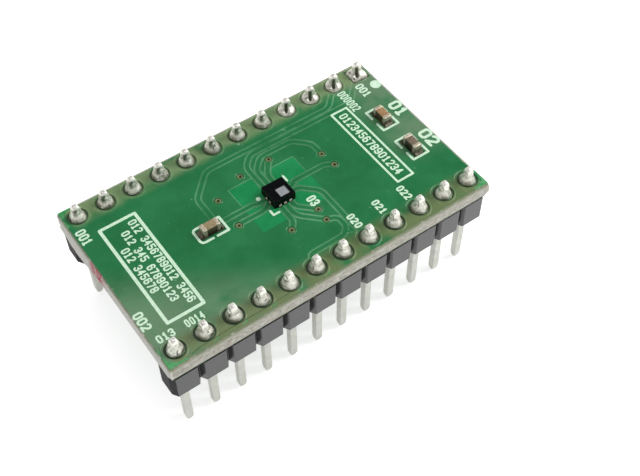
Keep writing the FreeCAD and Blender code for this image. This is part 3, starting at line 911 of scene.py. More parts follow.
@dataclass
class Repeater:
    """Puts copies of one pattern mesh on places with Geometry Nodes, each turned and rippled a little."""

    name: str
    turn_deg: float = 0.0
    growth: float = 0.0
    ripple_mm: float = 0.0
    ripple_size_mm: float = 1.0
    ripple_from_mm: float = 0.0
    seed: int = 7

    INPUTS = (
        ("Pattern", "NodeSocketObject"),
        ("Turn", "NodeSocketFloat"),
        ("Growth", "NodeSocketFloat"),
        ("Ripple", "NodeSocketFloat"),
        ("Ripple Scale", "NodeSocketFloat"),
        ("Ripple From", "NodeSocketFloat"),
        ("Seed", "NodeSocketInt"),
        ("Finish", "NodeSocketMaterial"),
    )

    def tree(self) -> Tree:
        """Builds the tree: instances on points, made real, rippled above a height, and given a finish."""
        tree = bpy.data.node_groups.new(self.name, "GeometryNodeTree")
        face = tree.interface
        face.new_socket("Geometry", in_out="INPUT", socket_type="NodeSocketGeometry")
        for name, kind in self.INPUTS:
            face.new_socket(name, in_out="INPUT", socket_type=kind)
        face.new_socket("Geometry", in_out="OUTPUT", socket_type="NodeSocketGeometry")
        given = add_node(tree, "NodeGroupInput").outputs
        turn, seed = given["Turn"], given["Seed"]
        pattern = add_node(tree, "GeometryNodeObjectInfo", links={"Object": given["Pattern"]})
        back = add_node(tree, "ShaderNodeMath", {1: -1.0}, {0: turn}, operation="MULTIPLY").outputs[0]
        angle = add_node(
            tree, "FunctionNodeRandomValue", links={2: back, 3: turn, "Seed": seed}, data_type="FLOAT"
        ).outputs[1]
        rotation = add_node(tree, "ShaderNodeCombineXYZ", links={"Z": angle}).outputs[0]
        smallest = add_node(
            tree, "ShaderNodeMath", {0: 1.0}, {1: given["Growth"]}, operation="SUBTRACT"
        ).outputs[0]
        size = add_node(
            tree, "FunctionNodeRandomValue", {3: 1.0}, {2: smallest, "Seed": seed}, data_type="FLOAT"
        ).outputs[1]
        scale = add_node(tree, "ShaderNodeCombineXYZ", {"Z": 1.0}, {"X": size, "Y": size}).outputs[0]
        copies = add_node(
            tree,
            "GeometryNodeInstanceOnPoints",
            links={
                "Points": given["Geometry"],
                "Instance": pattern.outputs["Geometry"],
                "Rotation": rotation,
                "Scale": scale,
            },
        ).outputs[0]
        real = add_node(tree, "GeometryNodeRealizeInstances", links={"Geometry": copies}).outputs[0]
        where = add_node(tree, "GeometryNodeInputPosition").outputs[0]
        wave = add_node(
            tree, "ShaderNodeTexNoise", {"Detail": 1.0}, {"Vector": where, "Scale": given["Ripple Scale"]}
        ).outputs[1]
        centred = add_node(
            tree, "ShaderNodeVectorMath", {1: (0.5, 0.5, 0.5)}, {0: wave}, operation="SUBTRACT"
        ).outputs[0]
        height = add_node(tree, "ShaderNodeSeparateXYZ", links={0: where}).outputs[2]
        above = add_node(
            tree, "ShaderNodeMath", links={0: height, 1: given["Ripple From"]}, operation="GREATER_THAN"
        ).outputs[0]
        amount = product(tree, given["Ripple"], above)
        shift = add_node(
            tree, "ShaderNodeVectorMath", links={0: centred, "Scale": amount}, operation="SCALE"
        ).outputs[0]
        moved = add_node(tree, "GeometryNodeSetPosition", links={"Geometry": real, "Offset": shift})
        coated = add_node(
            tree,
            "GeometryNodeSetMaterial",
            links={"Geometry": moved.outputs[0], "Material": given["Finish"]},
        ).outputs[0]
        add_node(tree, "NodeGroupOutput", links={"Geometry": coated})
        return tree

    def build(self, places: Sequence[Point], pattern: Mesh, finish: Finish) -> Mesh:
        """Repeats the pattern.

        Args:
            places: Points in millimetres on the board's plane.
            pattern: Mesh around the Z axis, at its own height.
            finish: The finish of every copy.

        Returns:
            One plain mesh with all the copies.
        """
        points = bpy.data.meshes.new("places")
        points.from_pydata([(x * MM, y * MM, 0.0) for x, y in places], [], [])
        carrier = linked(self.name, points)
        source = linked(self.name + "_pattern", pattern)
        modifier = carrier.modifiers.new(self.name, "NODES")
        modifier.node_group = self.tree()
        given = {
            "Pattern": source,
            "Turn": math.radians(self.turn_deg),
            "Growth": self.growth,
            "Ripple": self.ripple_mm * MM,
            "Ripple Scale": scale_for(self.ripple_size_mm),
            "Ripple From": self.ripple_from_mm * MM,
            "Seed": self.seed,
            "Finish": finish.material(),
        }
        for item in modifier.node_group.interface.items_tree:
            if item.in_out == "INPUT" and item.name in given:
                modifier[item.identifier] = given[item.name]
        return settled(carrier, source)


@dataclass
class Fringe:
    """The loose fibres that hang from a torn edge, outside the strip's end, in millimetres."""

    start: float
    end: float
    outside: float
    root: float = 0.25
    drop: float = 1.3
    shortest: float = 0.03
    step: float = 0.09
    root_thickness: float = 0.045
    tip_thickness: float = 0.012
    wobble: float = 0.012
    waves: Spot = (0.55, 0.45, 1.1)
    tufts: Spot = (0.8, 0.4, 7.0)

    def uneven(self, y: float, pattern: Spot, row: float) -> float:
        """Gives a share that wanders along y, for a pattern of (middle, swing, turns per millimetre)."""
        middle, swing, turns = pattern
        return middle + swing * noise.noise(Vector((0.0, y * turns, row)))

    def build(self) -> Mesh:
        """Skins one thin sheet whose lower edge goes up and down in waves and tufts."""
        root = STACK.laminate_bottom + self.root
        rings = []
        for i in range(round((self.end - self.start) / self.step) + 1):
            y = self.start + i * self.step
            share = math.sin(math.pi * (y - self.start) / (self.end - self.start))
            length = share * self.uneven(y, self.waves, 2.0) * self.uneven(y, self.tufts, 5.0)
            tip = STACK.laminate_bottom - self.drop * max(self.shortest, length)
            back = self.wobble * abs(noise.noise(Vector((3.0, y * 4.0, 1.0)))) - self.outside
            front = [(back + self.root_thickness, y, root), (back + self.tip_thickness, y, tip)]
            rings.append(front + [(back, y, tip), (back, y, root)])
        return lofted(rings, TORN_DEG)


@dataclass
class Laminate:
    """The glass-epoxy board: scored bevels above and below, and the torn web between them."""

    score_depth: float = 0.56
    web_reach: float = 0.18
    bevel_steps: int = 4
    web_steps: int = 5
    bevel_tear: float = 0.25
    step: float = 0.14
    tear: float = 0.15
    least_tear: float = 0.25
    tear_swing: float = 1.3
    spur_length: float = 1.1
    flake_start: float = 3.1
    flake_end: float = 8.75
    flake_slopes: Point = (0.7, 0.4)
    flake_inset: float = 0.012
    torn_share: float = 0.75
    fringe_inset: float = 0.006
    pin_hole: float = 0.5
    via_hole: float = 0.13
    drill_sides: int = 20
    drill_ends: Point = (8.0, 11.5)

    def wall_point(self, around: float, reach: float, z: float) -> Spot:
        """Gives a point of the edge.

        Args:
            around: Side number plus the share of that side, from 0 to 4.
            reach: Distance outside the top outline.
            z: Height.

        Returns:
            The point in millimetres.
        """
        half_x, half_y = STACK.half_length + reach, STACK.half_width + reach
        corners = rectangle(-half_x, -half_y, half_x, half_y)
        side = int(around) % 4
        share = around - int(around)
        (x0, y0), (x1, y1) = corners[side], corners[(side + 1) % 4]
        return x0 + (x1 - x0) * share, y0 + (y1 - y0) * share, z

    def rows(self) -> list[Spot]:
        """Lists the levels of the edge as (height, reach, share of the tear)."""
        low, high = STACK.laminate_bottom, STACK.laminate_top
        web = high - low - 2 * self.score_depth
        slopes = [i / self.bevel_steps for i in range(self.bevel_steps)]
        bevel = [(s * self.score_depth, s * self.web_reach, self.bevel_tear * s) for s in slopes]
        rows = [(low + rise, reach, tear) for rise, reach, tear in bevel]
        for i in range(self.web_steps + 1):
            rows.append((low + self.score_depth + i / self.web_steps * web, self.web_reach, 1.0))
        return rows + [(high - rise, reach, tear) for rise, reach, tear in reversed(bevel)]

    def flake(self, x: float, y: float) -> float:
        """Is 1 where torn cloth fills the lower score, less along the rest of the left side, 0 elsewhere."""
        if x > -STACK.half_length:
            return 0.0
        front, rear = self.flake_slopes
        full = min(1.0, (y - self.flake_start) / front, (self.flake_end - y) / rear)
        partly = self.torn_share * min(1.0, (self.flake_end - abs(y)) / rear)
        return max(0.0, full, partly)

    def torn_inward(self, x: float, y: float, z: float, share: float) -> float:
        """Gives how deep the tear goes at a point, down to nothing at the spur of the front right corner."""
        rough = noise.noise(Vector((x * 1.7, y * 1.7, z * 3.0)))
        rough += 0.6 * noise.noise(Vector((x * 5.0, y * 5.0, z * 6.0)))
        spur = min(1.0, math.hypot(STACK.half_length - x, -STACK.half_width - y) / self.spur_length)
        return share * self.tear * spur * min(1.0, self.least_tear + abs(rough) * self.tear_swing)

    def build(self) -> None:
        """Makes the edge, drills the holes, hangs the fringe and places the piece."""
        stops = []
        for side, length in enumerate((STACK.half_length, STACK.half_width) * 2):
            count = max(4, round(2 * length / self.step))
            stops += [side + i / count for i in range(count)]
        rings = []
        for z, reach, tear in self.rows():
            below = z < STACK.laminate_bottom + self.score_depth
            ring = []
            for around in stops:
                x, y, _ = self.wall_point(around, reach, z)
                room = self.web_reach - self.flake_inset - reach
                filled = max(0.0, room * self.flake(x, y)) if below else 0.0
                inward = self.torn_inward(x, y, z, tear)
                ring.append(self.wall_point(around, reach + filled - inward, z))
            rings.append(ring)
        solid = lofted(rings, TORN_DEG)
        solid.polygons.foreach_set("material_index", [1 if i < 2 else 0 for i in range(len(solid.polygons))])
        outside = STACK.half_length + self.web_reach - self.fringe_inset
        fringe = Fringe(self.flake_start, self.flake_end, outside).build()
        piece = Piece("board_laminate", (LAMINATE_EDGE, LAMINATE_CORE), "laminate", ("circuit_board",))
        piece.place(joined([self.drilled(solid), fringe]))

    def drilled(self, solid: Mesh) -> Mesh:
        """Cuts the holes of the pins and vias through the board."""
        tools = []
        for places, radius in ((REAR_ROW + FRONT_ROW, self.pin_hole), (VIAS, self.via_hole)):
            for x, y in places:
                ring = circle(x, y, radius, self.drill_sides)
                tools.append(lofted([[(px, py, z) for px, py in ring] for z in self.drill_ends], 0.0))
        for finish in (LAMINATE_EDGE, LAMINATE_CORE):
            solid.materials.append(finish.material())
        blank = linked("laminate_blank", solid)
        cutter = linked("laminate_drills", joined(tools))
        modifier = blank.modifiers.new("drill", "BOOLEAN")
        modifier.operation = "DIFFERENCE"
        modifier.solver = "EXACT"
        modifier.object = cutter
        return settled(blank, cutter)


# Places where the lacquer is thin and bright: three corners of the board, and a nick beside a front pin
BRIGHT_CORNERS = [
    [(-15.15, -8.85), (-13.5, -8.85), (-14.0, -8.5), (-14.8, -7.9), (-15.0, -7.0), (-15.15, -6.8)],
    [(-15.15, 8.85), (-15.15, 6.9), (-14.9, 7.1), (-14.75, 8.2), (-14.2, 8.6), (-13.5, 8.85)],
    [(15.15, -8.85), (15.15, -7.2), (14.95, -7.3), (14.9, -8.4), (14.0, -8.65), (13.8, -8.85)],
]
NICK = [(0.1, -1.17), (0.6, -1.05), (0.75, -0.86), (0.3, -0.95)]
# The line at the front edge along which the copper ends under the lacquer
COPPER_END = [(-13.2, -8.66), (-12.2, -8.5), (-9.4, -8.44), (-6.6, -8.5), (-4.3, -8.38)]


@dataclass
class Circuit:
    """The upper lacquer with what shows through it: tracks, their gaps, bare laminate and openings."""

    track: float = 0.32
    gap: float = 0.15
    bend: float = 0.5
    thin_line: float = 0.08
    sensor: Point = (0.37, 0.03)
    sensor_half: float = 1.03
    exit_reach: float = 1.14
    capacitor_half: Point = (1.12, 0.51)
    bare_low: Point = (-2.7, -2.45)
    bare_high: Point = (3.75, 2.87)
    bare_rim_start: float = 0.9
    opening: float = 0.87
    land_rings: Spot = (0.22, 0.17, 0.12)
    via_opening: float = 0.31
    via_rings: Spot = (0.45, 0.41, 0.37)
    land_sides: int = 32
    via_sides: int = 20
    square_corner: float = 0.06
    groove: float = 0.02
    short_of_edge: float = 0.17
    ragged: float = 0.07
    outline_step: float = 0.3

    def routes(self) -> list[list[Point]]:
        """Lists the centre lines of the tracks."""
        sx, sy = self.sensor
        left, right = ([(sx + side * self.exit_reach, sy + d) for d in (-0.25, 0.25)] for side in (-1, 1))
        front, back = ([(sx + d, sy + side * self.exit_reach) for d in (-0.5, 0.0, 0.5)] for side in (-1, 1))
        cap = (-5.25, 0.2)
        return [
            [cap, (-5.25, 3.5), (-3.1, 5.7), (9.51, 5.7), REAR_ROW[1]],
            [cap, (-4.7, 0.42), (-1.8, 0.42), (-1.6, 0.28), left[1]],
            [VIAS[3], (-3.6, -0.6), (-1.4, -0.6), left[0]],
            [back[0], (-0.13, 4.1), (0.9, 5.12), (11.47, 5.12), REAR_ROW[0]],
            [back[1], (0.37, 3.3), (1.45, 4.4), (4.6, 4.4), (5.88, 3.1), VIAS[7]],
            [back[2], (0.87, 2.4), VIAS[0]],
            [front[0], (-0.13, -2.9), VIAS[4]],
            [front[1], (0.37, -2.5), VIAS[5]],
            [front[2], (0.87, -1.7), VIAS[6]],
            [right[0], (2.2, -0.22), (3.52, -1.54), (3.52, -6.0), FRONT_ROW[7]],
            [right[1], (1.95, 0.28), (2.25, 0.6), (5.4, 0.6), VIAS[8]],
            [FRONT_ROW[5], (-1.0, -6.35), (2.4, -6.35), (3.0, -5.75), (3.0, -4.6), VIAS[5]],
        ]

    def build(self) -> None:
        """Cuts the sheet and places it."""
        sheet = FlatPattern(STACK.laminate_top, STACK.mask_top, STACK.mask_top - self.groove)
        sheet.add(self.outline(), Layer.POUR)
        self.add_bare(sheet)
        sheet.add(ribbon(COPPER_END, self.thin_line), Layer.SUNK)
        for route in self.routes():
            line = rounded_path(route, self.bend)
            sheet.add(ribbon(line, self.track + 2 * self.gap), Layer.GAP)
            sheet.add(ribbon(line, self.track), Layer.COPPER)
            for side in (-1, 1):
                sheet.crease(offset_line(line, side * (self.track + self.gap) / 2))
        for x, y in REAR_ROW + FRONT_ROW:
            self.add_rings(sheet, x, y, [self.opening + out for out in self.land_rings], self.land_sides)
            square = (x, y) == REAR_ROW[0]
            round_opening = circle(x, y, self.opening)
            opening = squircle(x, y, self.opening, self.square_corner) if square else round_opening
            sheet.add(opening, Layer.OPENING)
        for x, y in VIAS:
            self.add_rings(sheet, x, y, self.via_rings, self.via_sides)
            sheet.add(circle(x, y, self.via_opening, self.via_sides), Layer.OPENING)
        self.add_pad_openings(sheet)
        finish_of = {Layer.COPPER: 0, Layer.POUR: 0, Layer.BARE: 1, Layer.GAP: 2}
        finish_of |= {Layer.SUNK: 3, Layer.NICK: 4, Layer.RING: 5}
        finishes = (LACQUER_COPPER, LACQUER_BARE, LACQUER_GAP, LACQUER_SUNK, LACQUER_NICK, LACQUER_RING)
        piece = Piece("lacquer_sheet_top", finishes, "solder_mask", ("solder_mask_top", "copper_tracks"))
        piece.place(sheet.mesh(finish_of))

    def outline(self) -> Ring:
        """Gives the sheet's ragged outline, which stops a little short of the rear and right edges."""
        ring = []
        half_x, half_y = STACK.half_length, STACK.half_width
        sides = (
            ((-half_x, -half_y), (half_x, -half_y), (0.0, 1.0), 0.0),
            ((half_x, -half_y), (half_x, half_y), (-1.0, 0.0), self.short_of_edge),
            ((half_x, half_y), (-half_x, half_y), (0.0, -1.0), self.short_of_edge),
            ((-half_x, half_y), (-half_x, -half_y), (1.0, 0.0), 0.0),
        )
        for (x0, y0), (x1, y1), (inward_x, inward_y), inset in sides:
            count = round(math.hypot(x1 - x0, y1 - y0) / self.outline_step)
            for i in range(1, count):
                x, y = x0 + (x1 - x0) * i / count, y0 + (y1 - y0) * i / count
                wobble = inset + self.ragged * abs(noise.noise(Vector((x * 2.3, y * 2.3, 4.0))))
                ring.append((x + inward_x * wobble, y + inward_y * wobble))
        return ring

    def add_bare(self, sheet: FlatPattern) -> None:
        """Adds the bare field round the chip with the rim of its rear half, and the bright places."""
        (x_low, y_low), (x_high, y_high), start = self.bare_low, self.bare_high, self.bare_rim_start
        sheet.add(rectangle(x_low, y_low, x_high, y_high), Layer.BARE)
        rear_rim = [(x_low, start), (x_low, y_high), (x_high, y_high), (x_high, start)]
        sheet.add(ribbon(rear_rim, self.thin_line), Layer.GAP)
        for outline in BRIGHT_CORNERS:
            sheet.add(outline, Layer.NICK)
        for x, y in FRONT_ROW[1:6]:
            sheet.add([(x + dx, y + dy) for dx, dy in NICK], Layer.NICK)

    def add_rings(
        self, sheet: FlatPattern, x: float, y: float, radii: Sequence[float], sides: int
    ) -> None:
        """Adds the gap round a land or via, its lowest line, and the copper inside it."""
        gap, lowest, copper = radii
        sheet.add(circle(x, y, gap, sides), Layer.RING)
        sheet.crease(circle(x, y, lowest, sides), True)
        sheet.add(circle(x, y, copper, sides), Layer.COPPER)

    def add_pad_openings(self, sheet: FlatPattern) -> None:
        """Adds the openings over the pads of the capacitors and the chip."""
        along, across = self.capacitor_half
        pads = []
        for capacitor in CAPACITORS:
            pads.append((capacitor.centre, (across, along) if capacitor.along_y else (along, across)))
        pads.append((self.sensor, (self.sensor_half, self.sensor_half)))
        for (x, y), (half_x, half_y) in pads:
            sheet.add(rectangle(x - half_x, y - half_y, x + half_x, y + half_y), Layer.OPENING)


# Strokes of the digits on a grid four units wide and six high
GLYPHS: dict[str, list[Ring]] = {
    "0": [[(0, 1), (0, 5), (1, 6), (3, 6), (4, 5), (4, 1), (3, 0), (1, 0), (0, 1)]],
    "1": [[(0.8, 4.6), (2, 6), (2, 0)], [(0.8, 0), (3.2, 0)]],
    "2": [[(0, 5), (1, 6), (3, 6), (4, 5), (4, 3.8), (0, 0), (4, 0)]],
    "3": [
        [(0, 5), (1, 6), (3, 6), (4, 5), (4, 4), (3, 3), (4, 2), (4, 1), (3, 0), (1, 0), (0, 1)],
        [(1.6, 3), (3, 3)],
    ],
    "4": [[(3, 0), (3, 6), (0, 2), (4, 2)]],
    "5": [[(4, 6), (0, 6), (0, 3.4), (3, 3.4), (4, 2.5), (4, 1), (3, 0), (1, 0), (0, 1)]],
    "6": [[(4, 5), (3, 6), (1, 6), (0, 5), (0, 1), (1, 0), (3, 0), (4, 1), (4, 2.4), (3, 3.4), (0, 3.4)]],
    "7": [[(0, 6), (4, 6), (1.6, 0)]],
    "8": [
        [(1, 3), (0, 4), (0, 5), (1, 6), (3, 6), (4, 5), (4, 4), (3, 3), (1, 3)],
        [(1, 3), (0, 2), (0, 1), (1, 0), (3, 0), (4, 1), (4, 2), (3, 3)],
    ],
    "9": [[(0, 1), (1, 0), (3, 0), (4, 1), (4, 5), (3, 6), (1, 6), (0, 5), (0, 3.6), (1, 2.6), (4, 2.6)]],
}


@dataclass(frozen=True)
class Label:
    """A row of plain digits: where its first one starts, the way it reads, and its size."""

    text: str
    x: float
    y: float
    turn_deg: float
    height: float
    pitch: float
    line: float
    space: float = 0.07

    def rings(self) -> list[Ring]:
        """Gives the outlines of all its strokes, as wide as the pitch leaves room for."""
        tall = (self.height - self.line) / 6
        wide = (self.pitch - self.line - self.space) / 4
        turn = math.radians(self.turn_deg)
        c, s = math.cos(turn), math.sin(turn)
        rings = []
        for index, letter in enumerate(self.text):
            for line in GLYPHS.get(letter, []):
                placed = []
                for px, py in line:
                    u, v = index * self.pitch + px * wide + self.line / 2, py * tall + self.line / 2
                    placed.append((self.x + u * c - v * s, self.y + u * s + v * c))
                rings += stroke(placed, self.line)
        return rings


DOWN = -90.0
LABELS = [
    Label("012 3456789012 3456", -11.06, 4.75, DOWN, 0.74, 0.503, 0.14),
    Label("012 345 67890123", -12.06, 4.05, DOWN, 0.74, 0.503, 0.14),
    Label("012 345678", -12.92, 2.55, DOWN, 0.74, 0.503, 0.14),
    Label("012345678901234", 9.53, 4.33, DOWN, 0.84, 0.55, 0.15),
    Label("001", -15.0, 6.25, DOWN, 0.9, 0.57, 0.17),
    Label("002", -15.17, -3.25, DOWN, 0.85, 0.62, 0.18),
    Label("013", -14.7, -6.6, 0.0, 0.75, 0.52, 0.15),
    Label("0014", -12.25, -6.6, 0.0, 0.75, 0.42, 0.13),
    Label("020", 3.46, -4.96, DOWN, 0.72, 0.52, 0.16),
    Label("021", 5.96, -4.96, DOWN, 0.72, 0.52, 0.16),
    Label("022", 8.5, -4.96, DOWN, 0.74, 0.52, 0.16),
    Label("000002", 11.0, 6.6, DOWN, 0.84, 0.45, 0.13),
    Label("001", 12.85, 6.45, DOWN, 0.84, 0.56, 0.16),
    Label("01", 13.8, 3.0, DOWN, 1.25, 0.92, 0.27),
    Label("02", 13.8, -1.15, DOWN, 1.25, 1.0, 0.27),
    Label("03", 1.9, -1.56, DOWN, 0.88, 0.54, 0.18),
]


@dataclass
class Legend:
    """Everything printed in white: frames, brackets, marks, dots and plain numbers."""

    thickness: float = 0.02
    sink: float = 0.002
    bracket_half: Point = (1.25, 0.79)
    bracket_bend: float = 0.35
    bracket_line: float = 0.22
    mark_line: float = 0.2
    end_sides: int = 6

    # Centre, width, length and line of the two long boxes
    FRAMES = ((-11.68, -0.05, 3.45, 10.9, 0.28), (9.96, 0.15, 1.8, 9.5, 0.2))

    def build(self) -> None:
        """Draws all the marks as one film of ink."""
        top = STACK.mask_top + self.thickness
        film = FlatPattern(STACK.mask_top - self.sink, top, top)
        for ring in self.frames() + self.brackets() + self.marks():
            film.add(ring, Layer.COPPER)
        for label in LABELS:
            for ring in label.rings():
                film.add(ring, Layer.COPPER)
        piece = Piece("white_print", (PRINT_INK,), "legend", ("legend_marks",))
        piece.place(film.mesh({Layer.COPPER: 0}))

    def frames(self) -> list[Ring]:
        """Draws the two long boxes."""
        rings = []
        for x, y, width, length, line in self.FRAMES:
            half_x, half_y = (width - line) / 2, (length - line) / 2
            corners = rectangle(x - half_x, y - half_y, x + half_x, y + half_y)
            rings += stroke(corners + corners[:1], line, self.end_sides)
        return rings

    def brackets(self) -> list[Ring]:
        """Draws the two brackets round each capacitor."""
        along, across = self.bracket_half
        rings = []
        for capacitor in CAPACITORS:
            for end in (-1, 1):
                arm = capacitor.arm
                bracket = [(arm, across), (along, across), (along, -across), (arm, -across)]
                placed = [capacitor.at(end * u, v) for u, v in bracket]
                if capacitor.rounded and end < 0:
                    placed = rounded_path(placed, self.bracket_bend)
                rings += stroke(placed, self.bracket_line, self.end_sides)
        return rings

    def marks(self) -> list[Ring]:
        """Draws the chip's corner mark, bar and dot, and the dot by pin 1."""
        return (
            stroke([(-1.1, -0.9), (-1.1, -1.44), (-0.56, -1.44)], self.mark_line, self.end_sides)
            + stroke([(1.83, 0.92), (1.83, 1.54)], self.mark_line, self.end_sides)
            + [circle(-1.18, 0.67, 0.2, 24), circle(14.6, 5.62, 0.5, 40)]
        )


# A cone of solder from foot to neck, as (radius, height above the laminate)
CONE = [
    (0.5, -1.5),
    (0.5, 0.0),
    (0.8, 0.0),
    (0.8, 0.03),
    (0.77, 0.045),
    (0.73, 0.06),
    (0.695, 0.12),
    (0.67, 0.21),
    (0.62, 0.33),
    (0.56, 0.44),
    (0.5, 0.55),
    (0.455, 0.67),
    (0.43, 0.8),
    (0.42, 0.9),
    (0.39, 0.96),
    (0.3, 0.97),
]
# A low joint in the same way: a plump ring of solder that leans on the pin
BOWL = [
    (0.5, -1.5),
    (0.5, 0.0),
    (0.8, 0.0),
    (0.8, 0.03),
    (0.785, 0.05),
    (0.77, 0.1),
    (0.745, 0.19),
    (0.7, 0.28),
    (0.64, 0.35),
    (0.575, 0.4),
    (0.51, 0.45),
    (0.45, 0.51),
    (0.41, 0.56),
    (0.38, 0.58),
    (0.3, 0.58),
]
# A pin's point, as (height, half width, corner radius), and its dome, with depths under the top
PIN_POINT = [
    (0.0, 0.12, 0.1),
    (0.03, 0.17, 0.13),
    (0.1, 0.22, 0.14),
    (0.24, 0.27, 0.12),
    (0.42, 0.305, 0.09),
    (0.62, 0.32, 0.07),
]
PIN_DOME = [
    (0.55, 0.32, 0.07),
    (0.35, 0.31, 0.09),
    (0.15, 0.27, 0.11),
    (0.05, 0.21, 0.12),
    (0.0, 0.12, 0.1),
]
# The ring of a via, round its bore from the outside, as (radius, height above the laminate)
VIA_RING = [
    (0.129, 0.0),
    (0.27, 0.0),
    (0.27, 0.045),
    (0.24, 0.062),
    (0.17, 0.062),
    (0.13, 0.045),
    (0.115, 0.0),
]


@dataclass
class PinRows:
    """The pins, their solder, the two moulded strips and the ringed vias."""

    joint_sides: int = 32
    joint_growth: float = 0.06
    joint_ripple: Point = (0.16, 0.75)
    bowls: int = 4
    bowl_ripple: Point = (0.1, 0.6)
    solder_foot: float = 10.415
    hole: float = 0.5
    land: float = 0.8
    square_power: float = 7.0
    square_loss: float = 12.0
    pin_ripple: Point = (0.012, 0.8)
    strip_half: float = 1.25
    notch_depth: float = 0.5
    notch_mouth: float = 0.32
    socket_half: float = 0.46
    socket_depth: float = 0.12
    weld: float = 0.002
    edge_break: float = 0.045
    sharp_deg: float = 30.0
    end_slope: float = 0.6
    cleft_floor: float = 0.1
    cleft_depth: float = 0.8
    cleft_spread: float = 0.6
    cleft_run: float = 0.3
    via_sides: int = 24
    via_foot: float = 0.1

    def joint(self, profile: Sequence[Point], square: bool = False, cloven: bool = False) -> Mesh:
        """Turns a joint's outline round the Z axis.

        Args:
            profile: Radii and heights above the laminate, from inside the hole to the top.
            square: Whether the land is square.
            cloven: Whether a cleft runs from the pin to the front left.

        Returns:
            One joint round the Z axis.
        """
        rings = []
        for radius, rise in profile:
            ring = []
            power = 2.0
            if square and radius > self.hole:
                power = max(power, self.square_power - self.square_loss * max(0.0, rise))
            for i in range(self.joint_sides):
                angle = 2 * math.pi * (i + 0.5) / self.joint_sides
                c, s = math.cos(angle), math.sin(angle)
                reach = radius / (abs(c) ** power + abs(s) ** power) ** (1 / power)
                height = rise
                if cloven and rise > self.cleft_floor:
                    off = math.acos(max(-1.0, min(1.0, c * CLEFT.way[0] + s * CLEFT.way[1])))
                    share = max(0.0, 1.0 - off / self.cleft_spread)
                    share *= min(1.0, (self.land - radius) / self.cleft_run)
                    height = rise - (rise - self.cleft_floor) * self.cleft_depth * share
                ring.append((reach * c, reach * s, STACK.laminate_top + height))
            rings.append(ring)
        return lofted(rings, ROUND_DEG)

    def pin(self) -> Mesh:
        """Builds one pin: rounded square wire with a long point below and a short dome above."""
        top = STACK.pin_top - self.pin_ripple[0] / 2
        levels = PIN_POINT + [(top - depth, half, radius) for depth, half, radius in PIN_DOME]
        rings = [[(x, y, z) for x, y in squircle(0.0, 0.0, half, radius)] for z, half, radius in levels]
        return lofted(rings, ROUND_DEG)

    def segment(self) -> Mesh:
        """Builds one way of a strip, open where the next way joins, with a recess round the pin below."""
        half, deep, mouth, wide = PITCH / 2, self.notch_depth, self.notch_mouth, self.strip_half
        outline = [
            (-half, -wide + deep),
            (-half + mouth, -wide),
            (half - mouth, -wide),
            (half, -wide + deep),
            (half, wide - deep),
            (half - mouth, wide),
            (-half + mouth, wide),
            (-half, wide - deep),
        ]
        open_sides = (3, 7)
        low, high = STACK.strip_bottom, STACK.strip_top
        recess = rectangle(-self.socket_half, -self.socket_half, self.socket_half, self.socket_half)
        vertices = []
        for ring, z in ((outline, low), (outline, high), (recess, low), (recess, low + self.socket_depth)):
            vertices += [(x, y, z) for x, y in ring]
        count = len(outline)
        faces = []
        for i in range(count):
            j = (i + 1) % count
            if i not in open_sides:
                faces.append([i, j, j + count, i + count])
        faces.append([count + i for i in range(count)])
        a, b = 2 * count, 2 * count + 4
        faces += [[a + i, b + i, b + (i + 1) % 4, a + (i + 1) % 4] for i in range(4)]
        faces.append([b + 3, b + 2, b + 1, b])
        faces += [[0, a, a + 1, 3, 2, 1], [3, a + 1, a + 2, 4], [4, a + 2, a + 3, 7, 6, 5], [7, a + 3, a, 0]]
        return mesh_from(vertices, faces)

    def strip(self, name: str, places: Sequence[Point], node: str) -> None:
        """Joins twelve ways to a strip, closes its ends and breaks its edges."""
        run = Repeater(name + "_ways").build(places, self.segment(), STRIP_PLASTIC)
        build = bmesh.new()
        build.from_mesh(run)
        bmesh.ops.remove_doubles(build, verts=build.verts, dist=self.weld * MM)
        bmesh.ops.holes_fill(build, edges=[e for e in build.edges if e.is_boundary], sides=8)
        bmesh.ops.recalc_face_normals(build, faces=build.faces)
        flattest = math.radians(self.sharp_deg)
        sharp = [e for e in build.edges if len(e.link_faces) == 2 and e.calc_face_angle() > flattest]
        bmesh.ops.bevel(
            build,
            geom=sharp,
            offset=self.edge_break * MM,
            segments=2,
            profile=0.5,
            affect="EDGES",
            clamp_overlap=True,
        )
        end_x = (FIRST_X + PITCH / 2 - self.edge_break * 2) * MM - self.notch_mouth * MM
        for face in build.faces:
            at_end = abs(face.calc_center_median().x) > end_x
            face.material_index = 1 if at_end and abs(face.normal.x) > self.end_slope else 0
        mesh = bpy.data.meshes.new(name)
        build.to_mesh(mesh)
        build.free()
        Piece(name, (STRIP_PLASTIC, STRIP_BREAK), "header_plastic", (node,)).place(mesh)

